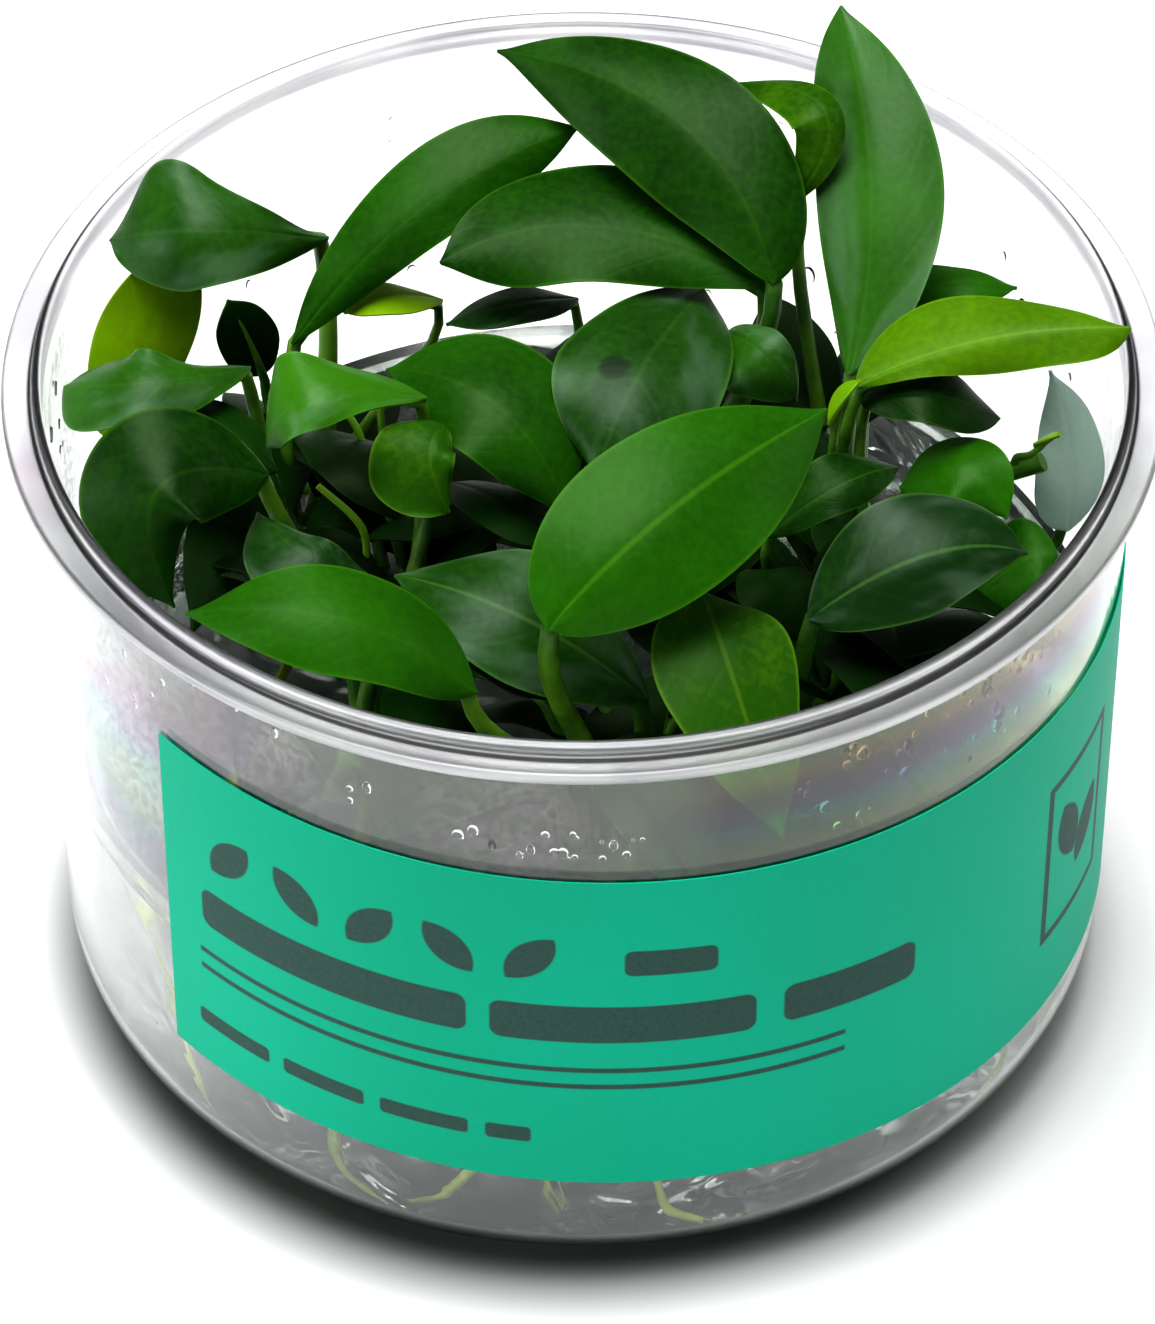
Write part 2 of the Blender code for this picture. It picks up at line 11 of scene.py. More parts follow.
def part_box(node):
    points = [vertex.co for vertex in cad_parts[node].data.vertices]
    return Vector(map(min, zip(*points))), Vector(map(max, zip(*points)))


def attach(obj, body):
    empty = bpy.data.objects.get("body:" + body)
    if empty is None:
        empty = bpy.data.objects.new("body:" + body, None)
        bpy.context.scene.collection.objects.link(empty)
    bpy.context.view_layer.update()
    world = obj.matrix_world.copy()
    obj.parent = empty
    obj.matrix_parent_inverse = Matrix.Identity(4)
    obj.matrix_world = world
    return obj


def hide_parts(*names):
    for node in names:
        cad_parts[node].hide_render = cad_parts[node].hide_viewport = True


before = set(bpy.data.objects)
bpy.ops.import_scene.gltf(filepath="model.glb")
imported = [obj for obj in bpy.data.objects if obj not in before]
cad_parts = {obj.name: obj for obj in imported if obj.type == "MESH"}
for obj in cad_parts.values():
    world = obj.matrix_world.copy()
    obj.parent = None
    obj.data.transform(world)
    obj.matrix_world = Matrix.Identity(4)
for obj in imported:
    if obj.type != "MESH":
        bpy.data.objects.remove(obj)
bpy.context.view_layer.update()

MM = 0.001
UP = Vector((0, 0, 1))

# Cup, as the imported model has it, with finer curves
CUP_SEGMENTS = 192
WALL = 0.9
FLOOR = 1.0
CORNER_RADIUS = 8.0
CORNER_STEPS = 10
WALL_FOOT_RADIUS = 46.7
WALL_TOP_RADIUS = 47.4
FLANGE_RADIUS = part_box("cup")[1].x / MM
FLANGE_UNDERSIDE = 63.4
FLANGE_TOP = 64.5
LIP_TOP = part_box("cup")[1].z / MM
EDGE_RADIUS = 0.45
RIM_ROUGHNESS = 0.28
RIM_FADE = (62.2, 63.4)  # heights between which the clear wall turns into the streaky rim
EDGE_STEPS = 4
FILLET_STEPS = 3
LIP_STEPS = 8

# Label on the outside of the wall, a little lower at its right end
LABEL_START = -49.0  # degrees from the front, to the right
LABEL_END = 93.5
LABEL_COLUMNS = 160
LABEL_ROWS = 12
LABEL_BOTTOM = 13.2
LABEL_HEIGHT = 36.6
LABEL_SLOPE = -0.042
LABEL_THICKNESS = 0.12
LABEL_OFF_WALL = 0.06
LABEL_LENGTH = math.radians(LABEL_END - LABEL_START) * WALL_TOP_RADIUS

# Print on the label, in mm from its lower left corner
PRINT_BLUR = 0.12
PRINTED_BARS = [  # middle, height, half length, half height
    (48.0, 27.0, 4.0, 1.5), (17.5, 19.6, 13.0, 2.2), (44.0, 19.6, 11.5, 2.2), (64.5, 19.6, 6.5, 2.2),
    (34.0, 14.0, 30.0, 0.3), (34.0, 12.0, 30.0, 0.3),
    (7.5, 5.6, 4.0, 0.9), (17.0, 5.6, 4.0, 0.9), (26.5, 5.6, 4.0, 0.9), (34.0, 5.6, 2.0, 0.9),
    (89.0, 18.0, 0.45, 9.5), (101.0, 18.0, 0.45, 9.5), (95.0, 27.1, 6.4, 0.45), (95.0, 8.9, 6.4, 0.45),
]
PRINTED_LEAVES = [  # middle, height, length, tilt in degrees
    (8.0, 27.2, 6.5, 50), (15.0, 27.2, 6.5, 130), (22.0, 27.2, 6.5, 50), (29.0, 27.2, 6.5, 130),
    (36.0, 27.2, 6.5, 50), (93.0, 19.5, 8.0, 110), (97.2, 17.0, 8.0, 60),
]

# Condensation on the inside of the wall
MIST_THICKNESS = 0.06
MIST_OFF_WALL = 0.45
MIST_TOP = 62.5
MIST_AMOUNTS = (0.5, 0.32, 0.12)  # at the left, in the middle and at the right of the front

# Gel
GEL_TOP = 29.5
GEL_GAP = 0.06
PLANTS_FORWARD = 12.0  # how far the plants stand in front of the middle
GEL_SHADE_REACH = (24.0, 33.0)  # from the plants' middle, where the painted shade on the gel's top fades
GEL_SKIN = (28.6, 29.0)  # heights between which the look of the top takes over
GEL_UNEVEN = (27.5, 29.0)  # heights between which the unevenness of the side ends
MENISCUS_RISE = 0.9
MENISCUS_WIDTH = 2.2

# Water drops: degrees from and to, height from and to, and how many
DROPLET_ZONES = [
    (22, 60, 51, 61, 46), (34, 62, 56, 62, 22), (-14, 6, 52, 55, 20), (-60, -20, 50, 60, 14),
    (90, 270, 34, 60, 60),
]
# Bubbles in the gel by the wall: degrees, height, spread in degrees and how many
BUBBLE_PLACES = [
    (-12, 4.6, 3, 4), (6, 4.2, 5, 9), (-3, 4.4, 3, 5), (13, 6.0, 4, 4), (-40, 12, 6, 4), (-62, 18, 6, 5),
    (60, 12, 8, 5), (150, 14, 20, 8), (220, 12, 20, 8),
]

# Plantlets: rhizome centre, heading in degrees and the leaves that grow from it
RHIZOME_RADIUS = 1.9
RHIZOME_Z = 31.7
FOOT_Z = 33.9
FOOT_PITCH = 2.7
FOOT_SIDE = 0.9
PLANTLETS = {
    "rhizome_1": ((-25.0, 9.0), 80, (4, 6, 7, 8, 28, 29, 30)),
    "rhizome_2": ((-18.0, -9.0), 60, (9, 11, 12, 27, 34, 35)),
    "rhizome_3": ((3.0, 6.0), 20, (1, 5, 13, 14, 16, 31)),
    "rhizome_4": ((22.0, 9.0), 70, (2, 3, 17, 18, 36)),
    "rhizome_5": ((3.0, -24.0), 0, (10, 15, 25, 26)),
    "rhizome_6": ((23.0, -9.0), 60, (19, 20, 21, 22, 23, 24, 32, 33)),
}

# Leaves: base, middle and tip of the midrib, blade width, roll about the midrib in degrees, fold of
# each half in radians, the finish, its tone from 0 dark to 1 light, and the height of the waves
LEAVES = {
    1: ((16.5, 10, 66), (8.5, 21, 75), (-7.5, 31, 75), 13.5, -30, -0.6, "deep", 0.15, 0.5),
    2: ((23, 5, 60), (25, 16, 71), (22.5, 31, 80), 12, -20, -0.5, "silky", 0.6, 0.5),
    3: ((18.5, 18, 69), (21, 20, 77), (13.5, 27, 74.5), 8, 0, -0.5, "young", 0.1, 0.3),
    4: ((-25.5, 12.5, 57), (-14, 19, 67), (-0.5, 26.5, 70), 10, 35, -0.5, "deep", 0.35, 0.5),
    5: ((16, 12, 64), (1, 16, 67.5), (-12.5, 14, 65), 14.5, -20, -0.4, "deep", 0.2, 0.5),
    6: ((-22.5, 21, 62), (-33, 16, 67), (-41.5, 20, 62.5), 13, -40, -0.5, "silky", 0.3, 0.7),
    7: ((-41, 12, 46), (-38.5, 15, 55), (-35, 18, 63), 12.5, 60, -0.2, "bright", 0.2, 0.3),
    8: ((-29, 7, 59), (-37.5, 1, 62.5), (-45, 5, 58.5), 8.6, -20, -0.5, "silky", 0.45, 0.6),
    9: ((-27, -8, 60), (-36, -14, 63.5), (-35, -16, 52), 13, -20, -0.4, "deep", 0.05, 0.5),
    10: ((-9, -33, 58), (-19.5, -34, 67), (-33, -31, 65), 12, -20, -0.5, "deep", 0.5, 0.5),
    11: ((-13.5, -1.5, 63), (-23, -6, 67), (-27, -5, 60.5), 9, -20, -0.4, "silky", 1, 0.5),
    12: ((-12, -4, 62), (-13, -7.5, 61.5), (-11.5, -9.5, 57), 8.5, 0, -0.25, "young", 0, 0.9),
    13: ((-1.5, -7, 55), (-7.5, -2, 62.5), (-17, 5, 60.5), 13, -15, -0.5, "deep", 0.3, 0.5),
    14: ((10.5, 14.5, 61.5), (5, 1.5, 63.5), (1, -6, 58), 15.5, -10, -0.4, "silky", 0.2, 0.5),
    15: ((-3, -32, 64), (7.5, -24.5, 71), (20.5, -11, 70), 15.5, 30, -0.4, "deep", 0.55, 0.3),
    16: ((12.5, 10.5, 60), (15.5, 5.5, 62), (18.5, 5, 57), 8, 30, -0.3, "silky", 0.4, 0.4),
    17: ((23.5, 0, 63), (34.5, 2, 66.5), (47, 2.5, 67.5), 7.5, 25, -0.8, "young", 0.42, 0.5),
    18: ((26, 17.5, 58), (32, 16, 61), (38, 16.5, 60), 5.5, 10, -0.3, "deep", 0.5, 0.2),
    19: ((24, 1.5, 60), (30, 0, 62), (36, 2, 57.5), 6.2, 20, -0.5, "deep", 0, 0.3),
    20: ((15.5, -11.5, 56), (22, -9.5, 60), (27, -5, 58), 7, 20, -0.4, "deep", 0.05, 0.3),
    21: ((19, -23, 57), (29, -20.5, 62), (37.5, -18, 60), 13, 30, -0.5, "silky", 0, 0.5),
    22: ((27.5, -2, 53), (32.5, -4, 57), (36.5, -7, 54), 8, 20, -0.4, "deep", 0.6, 0.3),
    23: ((34, -8.5, 46), (38, -8, 50), (41, -7.5, 50), 9, 20, -0.4, "deep", 0.3, 0.2),
    24: ((42.5, 2.5, 44), (42.5, 4, 52), (40.5, 5.5, 60), 7.5, 0, -0.2, "pale", 1, 0.2),
    25: ((10, -23, 60), (12.5, -31.5, 58), (16.5, -39.5, 48), 12.5, 0, -0.3, "young", 0, 0.3),
    26: ((5.5, -23.5, 48), (-5, -23, 57), (-16, -16.5, 56), 14, -20, -0.4, "silky", 0.2, 0.4),
    27: ((-17, -14, 52), (-23.5, -14.5, 56.5), (-28, -7.5, 55), 9.5, -15, -0.3, "silky", 0.1, 0.3),
    28: ((-26.5, -2, 55), (-31, 0, 58), (-35.5, 5.5, 57), 7, 0, -0.4, "shaded", 0.9, 0.3),
    29: ((-28.5, 16.5, 50), (-29.5, 13.5, 57), (-31, 12.5, 62), 5.5, 55, -0.3, "shaded", 0.8, 0.2),
    30: ((-12.5, 19.5, 56), (-17, 16.5, 59), (-21, 15.5, 58), 4.5, 0, -0.2, "bright", 0.3, 0.1),
    31: ((-0.5, 18.5, 57), (-6, 15.5, 59), (-12, 14.5, 57.5), 5, 0, -0.2, "silky", 0.1, 0.1),
    32: ((21.5, -17, 44), (25, -20.5, 49.5), (31.5, -18.5, 50), 8, 20, -0.3, "shaded", 0.8, 0.2),
    33: ((14, -11.5, 52), (17, -15, 53), (19.5, -16, 48), 8, 0, -0.3, "shaded", 0.6, 0.2),
    34: ((-11.5, 2, 50), (-7, -4, 53), (-2, -6.5, 50), 6, 0, -0.3, "shaded", 0.6, 0.2),
    35: ((-25.5, -23, 36), (-25, -30.5, 47), (-24.5, -38.5, 60), 7, 0, -0.2, "deep", 0.4, 0.1),
    36: ((21, -5.5, 63.5), (22, -5.5, 66), (23.5, -5.5, 68.5), 2.6, 0, 0.9, "young", 1, 0),
}
# Outlines: left and right half, seen from the base, each with its width as a share of half the blade's,
# where it is widest, and its power (below 1.5 it is fuller towards both ends)
OUTLINES = {
    1: ((1, 0.5, 1.5), (1, 0.42, 1.4)),
    2: ((0.95, 0.62, 1.1), (1.05, 0.5, 1.5)),
    3: ((0.8, 0.5, 1), (0.45, 0.5, 1)),
    4: ((1, 0.6, 1.5), (0.7, 0.6, 1.3)),
    5: ((0.75, 0.6, 1.2), (1, 0.5, 1.5)),
    6: ((0.8, 0.6, 1.3), (1.1, 0.74, 2)),
    7: ((0.75, 0.5, 0.8), (0.7, 0.5, 0.8)),
    8: ((1, 0.8, 0.8), (1.1, 0.85, 0.8)),
    9: ((0.7, 0.35, 1.3), (1.15, 0.5, 1.3)),
    10: ((0.8, 0.5, 1.3), (1, 0.45, 1.5)),
    11: ((0.6, 0.6, 1.2), (1.25, 0.7, 1.2)),
    12: ((0.5, 0.4, 1.4), (1.3, 0.6, 1.1)),
    13: ((0.8, 0.5, 1.5), (1.2, 0.55, 1.5)),
    14: ((0.95, 0.48, 1.2), (1, 0.5, 1.5)),
    15: ((1, 0.42, 1.3), (0.95, 0.5, 1.3)),
    16: ((0.6, 0.5, 1.2), (1.1, 0.5, 1.2)),
    17: ((1.65, 0.36, 1.9), (0.9, 0.8, 0.9)),
    18: ((1, 0.25, 1.2), (1, 0.5, 1.5)),
    19: ((1, 0.6, 0.9), (0.9, 0.6, 0.9)),
    20: ((1, 0.5, 1.5), (0.65, 0.5, 1.3)),
    21: ((1, 0.45, 1.5), (0.75, 0.4, 1.4)),
    24: ((1, 0.35, 1.5),) * 2,
    25: ((1, 0.42, 1.5),) * 2,
    26: ((0.8, 0.5, 1.5), (1, 0.5, 1.5)),
    27: ((1.1, 0.45, 1.4), (0.5, 0.4, 1.4)),
    29: ((1, 0.5, 1.2),) * 2,
    35: ((1, 0.4, 1.5),) * 2,
}
EVEN_BLADE = ((1, 0.5, 1.5),) * 2
LOWER_BLADE = ((1, 0.48, 1.5),) * 2
# How plainly the midrib shows, for the leaves where it does
FAINT_RIB = 0.05
CLEAR_RIBS = {15: 0.25, 21: 0.2, 25: 0.12, 26: 0.15, 17: 0.15, 20: 0.15}
YOUNG_LEAVES = (3, 7, 12, 17, 25, 36)

# The one round dark spot, on the broad leaf in the middle
DARK_SPOT = (2.7, 1.9, 63.0)
SPOT_RADII = (1.1, 1.8)  # where it starts to fade, and where it ends

SHOOT_FOOT = (37.5, 0.2, 54)
SHOOT = ((39, -0.8, 57), (40, -1.8, 58.5), (41, -2.8, 60), 1.5, 0, 0.6, "young", 0.9, 0)

BLADE_GRID = (14, 28)
LOWER_BLADE_GRID = (8, 14)
BLADE_THICKNESS = 0.42
MARGIN_SHARE = 0.4  # thickness at the margin, as a share of that at the midrib
MARGIN_HALF = 0.15
CROWDING = 0.55  # how far the rows of the grid crowd towards both ends of the blade
GROOVE_DEPTH = 0.22
GROOVE_WIDTH = 0.07  # share of the half blade
WAVES_ALONG = 1.7
PHASE_STEP = 1.7  # between the waves of one leaf and of the next
TIP_ROUNDING = 12
CREASE_SHARE = 0.6

# Stalk of a leaf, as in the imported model
STALK_RADIUS = 0.3
STALK_GROWTH = 0.045
STALK_RISE = 0.4
STALK_DROP = 0.25
STALK_LEAD = 2.0
RIB_STATIONS = ((0.0, 0.85), (0.5, 0.4), (0.97, 0.12))  # place along the blade, and relative radius
RIB_SUNK = 0.05  # how far it reaches into the blade

# Small leaves low in the cup
LOWER_LEAVES = 11
LOWER_REACH = 43.0
CLEAR_BACK = (31.0, -2.0)  # beyond these x and y no low leaf hides the clear cup
GOLDEN_ANGLE = 2.39996
LOWER_LENGTH = (14, 20)
LOWER_VARIETY = ((-30, 30), (-0.6, -0.2), (0.0, 0.6), (-20, 20))  # roll, fold, tone, twist along the blade

CUT_STEM = ((28.5, -3, 34), (30.5, 0.5, 42), (33.5, 2, 49), (40, 1.5, 53))
CUT_STEM_RADIUS = 0.9

# Bare young stems between the leaves
YOUNG_STEM_RADIUS = 0.35
YOUNG_STEMS = [
    ((-19.0, -4.5, 45), (-19.2, -3.8, 50), (-23.0, -2.2, 53.5)),
    ((-19.0, 8.0, 42), (-20.0, 9.5, 50), (-26.0, 12.0, 56)),
    ((-16.0, 4.0, 45), (-17.5, 5.5, 52), (-17.7, 6.0, 58)),
]

ROOT_RADIUS = 0.5
ROOT_TOP = 29.4
ROOTS = {
    "root_1": ((-18.5, -12), (-20, -26, 19), (-20.5, -36.5, 8), (-16.5, -39, 3.8)),
    "root_2": ((-2, -25), (-5, -33, 16), (-10.5, -38, 6.5), (-14.5, -37.5, 3.6)),
    "root_3": ((5, -25), (6, -33, 15), (6.5, -39.5, 5.5), (13, -40.5, 3.8)),
    "root_4": ((22, -12), (30, -22, 18), (36, -26, 9), (31.5, -30, 4.5)),
    "root_5": ((25, -6), (34, -14, 20), (40.5, -18, 12), (39, -22, 7)),
    "root_6": ((-24.5, 6), (-31, -10, 22), (-33.5, -25, 14), (-31.5, -29.5, 6)),
    "root_7": ((2, 5), (4, -6, 15), (-1, -24, 7), (-2, -39.5, 4.6)),
    "root_8": ((22, 10), (30, 14, 17), (37, 11, 8), (36, 2, 4)),
}

# Contact shadow: how far it lies to the right and to the back, and the distances at which it fades
SHADOW_SHIFT = (-1.2, -1.8)
SHADOW_EDGE = (41.5, 51.4)
SHADOW_CORE = (28.0, 41.0)  # paler than the rest, under the middle of the cup

# Lamps: place, height they aim at over the middle, size, power in watts and colour
LAMPS = {
    "overhead softbox": ((-60, 0, 780), 40, (560, 460), 8.2, (1, 1, 1)),
    "low left softbox": ((-560, -160, 220), 50, (360, 300), 1.6, (0.93, 0.97, 1.0)),
    "front softbox": ((80, -620, 160), 40, (300, 200), 0.35, (1, 1, 1)),
    "right softbox": ((560, 120, 300), 50, (360, 300), 0.4, (1, 1, 1)),
}

# White surroundings, brighter where they are seen through the clear cup
WORLD_STRENGTH = 0.14
SEEN_THROUGH_GLASS = 0.7

# Camera: the photograph's long side is 1324 pixels and its focal length 8000 of them
SENSOR = 36.0
CAMERA_LENS = 8000 / 1324 * SENSOR
CAMERA_PLACE = (-0.505, -518.34, 516.18)
CAMERA_AIM = (-0.505, 0.0, 30.525)


# Small steps that every piece uses

def deselect_all():
    if bpy.context.mode != "OBJECT":
        bpy.ops.object.mode_set(mode="OBJECT")
    bpy.ops.object.select_all(action="DESELECT")


def take_up(piece):
    """Makes one piece the only one selected."""
    deselect_all()
    piece.select_set(True)
    bpy.context.view_layer.objects.active = piece


def apply_modifier(piece, kind, **settings):
    take_up(piece)
    added = piece.modifiers.new(kind.title(), kind)
    for name, value in settings.items():
        setattr(added, name, value)
    bpy.ops.object.modifier_apply(modifier=added.name)


def join(pieces, name):
    take_up(pieces[0])
    for piece in pieces[1:]:
        piece.select_set(True)
    bpy.ops.object.join()
    made = bpy.context.object
    made.name = name
    made.data.name = name
    return made


def smooth(piece, degrees):
    take_up(piece)
    bpy.ops.object.shade_smooth_by_angle(angle=math.radians(degrees))


def face_outwards(piece):
    take_up(piece)
    bpy.ops.object.mode_set(mode="EDIT")
    bpy.ops.mesh.select_all(action="SELECT")
    bpy.ops.mesh.normals_make_consistent(inside=False)
    bpy.ops.object.mode_set(mode="OBJECT")


def hand_over(piece, slot, *nodes):
    """The finished piece rides with the cup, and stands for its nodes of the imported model."""
    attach(piece, "root")
    if nodes:
        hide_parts(*nodes)


def complete(piece, finish, degrees, slot, *nodes):
    """Gives a piece its finish and smooth shading, and hands it over."""
    piece.data.materials.append(finish)
    smooth(piece, degrees)
    hand_over(piece, slot, *nodes)


def bend(centre, radius, start, end, steps):
    """Points of an arc in the r, z plane, both ends included, angles in degrees."""
    found = []
    for step in range(steps + 1):
        angle = math.radians(start + (end - start) * step / steps)
        found.append((centre[0] + radius * math.cos(angle), centre[1] + radius * math.sin(angle)))
    return found


def turned(name, rings):
    """A closed body of revolution: a disc, extruded and scaled from ring to ring."""
    deselect_all()
    (radius, height), *others = rings
    bpy.ops.mesh.primitive_circle_add(
        vertices=CUP_SEGMENTS, radius=radius * MM, fill_type="NGON", location=(0, 0, height * MM)
    )
    piece = bpy.context.object
    piece.name = name
    bpy.ops.object.mode_set(mode="EDIT")
    bpy.ops.mesh.select_mode(type="FACE")
    bpy.ops.mesh.select_all(action="SELECT")
    for next_radius, next_height in others:
        rise = (next_height - height) * MM
        grow = next_radius / radius
        bpy.ops.mesh.extrude_region_move(TRANSFORM_OT_translate={"value": (0, 0, rise)})
        bpy.ops.transform.resize(value=(grow, grow, 1), center_override=(0, 0, next_height * MM))
        radius, height = next_radius, next_height
    bpy.ops.object.mode_set(mode="OBJECT")
    bpy.ops.object.transform_apply(location=True, rotation=True, scale=True)
    face_outwards(piece)
    return piece


def wall_radius(height):
    share = (height - CORNER_RADIUS) / (FLANGE_UNDERSIDE - CORNER_RADIUS)
    return WALL_FOOT_RADIUS + (WALL_TOP_RADIUS - WALL_FOOT_RADIUS) * share


def on_wall(degrees, height, off):
    """A point off the outside of the wall, at an angle from the front towards the right."""
    turn = math.radians(degrees)
    radius = wall_radius(height) + off
    return Vector((radius * math.sin(turn), -radius * math.cos(turn), height))


# Materials

class Nodes:
    """Short ways to add nodes to one tree."""

    def __init__(self, tree):
        self.tree = tree

    def node(self, kind, **settings):
        added = self.tree.nodes.new(kind)
        for name, value in settings.items():
            setattr(added, name, value)
        return added

    def link(self, source, target):
        self.tree.links.new(source, target)

    def feed(self, sockets, values):
        """Links each value that comes from a socket, and sets the others."""
        for socket, value in zip(sockets, values):
            if isinstance(value, bpy.types.NodeSocket):
                self.link(value, socket)
            else:
                socket.default_value = value

    def group(self, tree, **values):
        added = self.node("ShaderNodeGroup", node_tree=tree)
        self.feed([added.inputs[name.replace("_", " ")] for name in values], values.values())
        return added

    def maths(self, operation, first, second=0.0, third=0.0):
        added = self.node("ShaderNodeMath", operation=operation)
        self.feed(added.inputs, (first, second, third))
        return added.outputs[0]

    def product(self, first, *others):
        for other in others:
            first = self.maths("MULTIPLY", first, other)
        return first

    def within(self, source, low, high, soft):
        """1 between low and high, falling to 0 over the soft distance beyond each."""
        rise = self.ramp(source, low - soft, low)
        return self.maths("MULTIPLY", rise, self.ramp(source, high, high + soft, 1.0, 0.0))

    def blend(self, share, first, second):
        added = self.node("ShaderNodeMix", data_type="RGBA")
        self.feed([added.inputs[index] for index in (0, 6, 7)], (share, first, second))
        return added.outputs[2]

    def ramp(self, source, low, high, to_low=0.0, to_high=1.0):
        added = self.node("ShaderNodeMapRange", interpolation_type="SMOOTHSTEP")
        self.link(source, added.inputs["Value"])
        for name, value in (("From Min", low), ("From Max", high), ("To Min", to_low), ("To Max", to_high)):
            added.inputs[name].default_value = value
        return added.outputs["Result"]

    def fade(self, source, edges, to_low=0.0, to_high=1.0):
        """A ramp between two places given in mm."""
        return self.ramp(source, edges[0] * MM, edges[1] * MM, to_low, to_high)

    def noise(self, scale, detail=2.0, coordinates=None, distortion=0.0):
        added = self.node("ShaderNodeTexNoise")
        added.inputs["Scale"].default_value = scale
        added.inputs["Detail"].default_value = detail
        added.inputs["Distortion"].default_value = distortion
        self.link(coordinates or self.object_place(), added.inputs["Vector"])
        return added.outputs["Fac"]

    def combine(self, x, y, z=0.0):
        added = self.node("ShaderNodeCombineXYZ")
        self.feed(added.inputs, (x, y, z))
        return added.outputs[0]

    def object_place(self):
        return self.node("ShaderNodeTexCoord").outputs["Object"]

    def length(self, x, y):
        """Length of a flat vector."""
        added = self.node("ShaderNodeVectorMath", operation="LENGTH")
        self.link(self.combine(x, y), added.inputs[0])
        return added.outputs["Value"]

    def away_from(self, place):
        """Distance from a place given in mm, in metres."""
        added = self.node("ShaderNodeVectorMath", operation="DISTANCE")
        self.link(self.object_place(), added.inputs[0])
        added.inputs[1].default_value = Vector(place) * MM
        return added.outputs["Value"]

    def split(self, source):
        added = self.node("ShaderNodeSeparateXYZ")
        self.link(source, added.inputs[0])
        return added.outputs["X"], added.outputs["Y"], added.outputs["Z"]

    def stops(self, source, *colours):
        """A colour ramp: each stop is its position and its colour."""
        added = self.node("ShaderNodeValToRGB")
        elements = added.color_ramp.elements
        for position, colour in colours[2:]:
            elements.new(position)
        for element, (position, colour) in zip(elements, colours):
            element.position, element.color = position, colour
        self.link(source, added.inputs[0])
        return added.outputs["Color"]


class Finish(Nodes):
    """A material round one Principled shader."""

    def __init__(self, name):
        self.made = bpy.data.materials.new(name)
        self.made.use_nodes = True
        super().__init__(self.made.node_tree)
        self.shader = self.tree.nodes["Principled BSDF"]

    def set(self, **values):
        for name, value in values.items():
            self.shader.inputs[name.replace("_", " ")].default_value = value

    def drive(self, name, source):
        self.link(source, self.shader.inputs[name])

    def let_light_through(self, tint):
        """A clear piece lets the lamps light what is behind it, dimmed by its tint."""
        clear = self.node("ShaderNodeBsdfTransparent")
        clear.inputs["Color"].default_value = tint
        mix = self.node("ShaderNodeMixShader")
        self.link(self.node("ShaderNodeLightPath").outputs["Is Shadow Ray"], mix.inputs[0])
        self.link(self.shader.outputs[0], mix.inputs[1])
        self.link(clear.outputs[0], mix.inputs[2])
        self.link(mix.outputs[0], self.tree.nodes["Material Output"].inputs["Surface"])

    def bump(self, height, strength, depth):
        added = self.node("ShaderNodeBump")
        added.inputs["Strength"].default_value = strength
        added.inputs["Distance"].default_value = depth * MM
        self.link(height, added.inputs["Height"])
        self.drive("Normal", added.outputs["Normal"])


def rgb(red, green, blue):
    """A colour given as 0 to 255 on a screen."""
    linear = [((value / 255 + 0.055) / 1.055) ** 2.4 if value > 10 else value / 255 / 12.92
              for value in (red, green, blue)]
    return (*linear, 1.0)


def group_tree(name, inputs, outputs):
    tree = bpy.data.node_groups.new(name, "ShaderNodeTree")
    for socket, value in inputs.items():
        added = tree.interface.new_socket(socket, in_out="INPUT", socket_type="NodeSocketFloat")
        added.default_value = value
    for socket in outputs:
        tree.interface.new_socket(socket, in_out="OUTPUT", socket_type="NodeSocketFloat")
    return Nodes(tree), tree.nodes.new("NodeGroupInput").outputs, tree.nodes.new("NodeGroupOutput").inputs


def leaf_veins_group():
    """Midrib and side veins from a leaf's own place across and along the blade, both 0 to 1."""
    group, given, out = group_tree(
        "leaf veins", {"Across": 0.5, "Along": 0.5, "Count": 11.0, "Sweep": 0.22},
        ("Midrib", "Side veins", "From midrib", "Swept"),
    )
    from_midrib = group.product(group.maths("ABSOLUTE", group.maths("SUBTRACT", given["Across"], 0.5)), 2.0)
    lead = group.product(group.maths("POWER", from_midrib, 1.35), given["Sweep"])
    swept = group.product(group.maths("SUBTRACT", given["Along"], lead), given["Count"])
    vein = group.ramp(group.maths("PINGPONG", swept, 0.5), 0.0, 0.2, 1.0, 0.0)
    inside = group.ramp(from_midrib, 0.75, 0.98, 1.0, 0.0)
    group.link(group.ramp(from_midrib, 0.01, 0.055, 1.0, 0.0), out["Midrib"])
    group.link(group.product(vein, inside), out["Side veins"])
    group.link(from_midrib, out["From midrib"])
    group.link(swept, out["Swept"])
    return group.tree


def wall_place_group():
    """Degrees round the wall from the front, and the height in mm over the label's top edge."""
    group, given, out = group_tree("place on wall", {}, ("Degrees", "Over label"))
    x, y, z = group.split(group.object_place())
    turn = group.maths("ARCTAN2", x, group.product(y, -1.0))
    group.link(group.product(turn, math.degrees(1)), out["Degrees"])
    edge = group.maths("MULTIPLY_ADD", turn, LABEL_SLOPE * WALL_TOP_RADIUS, LABEL_BOTTOM + LABEL_HEIGHT)
    group.link(group.maths("SUBTRACT", group.product(z, 1 / MM), edge), out["Over label"])
    return group.tree


CLEAR = rgb(252, 253, 253)
WAX_IOR = 1.42
VEIN_SHARE = 0.012  # how plainly the side veins show
MARGIN_SHEEN = 0.2  # how much paler a blade's very edge is
SPOT_SHARE = 0.8
# how strongly the painted silvery sheen shows on the silky leaves
SHEEN_BAND_SHARE = 0.1
GREEN_GLOSS = (0.7, 1.0, 0.55, 1.0)
PALE_GLOSS = (0.85, 1.0, 0.9, 1.0)
LEAF_VEINS = leaf_veins_group()
WALL_PLACE = wall_place_group()


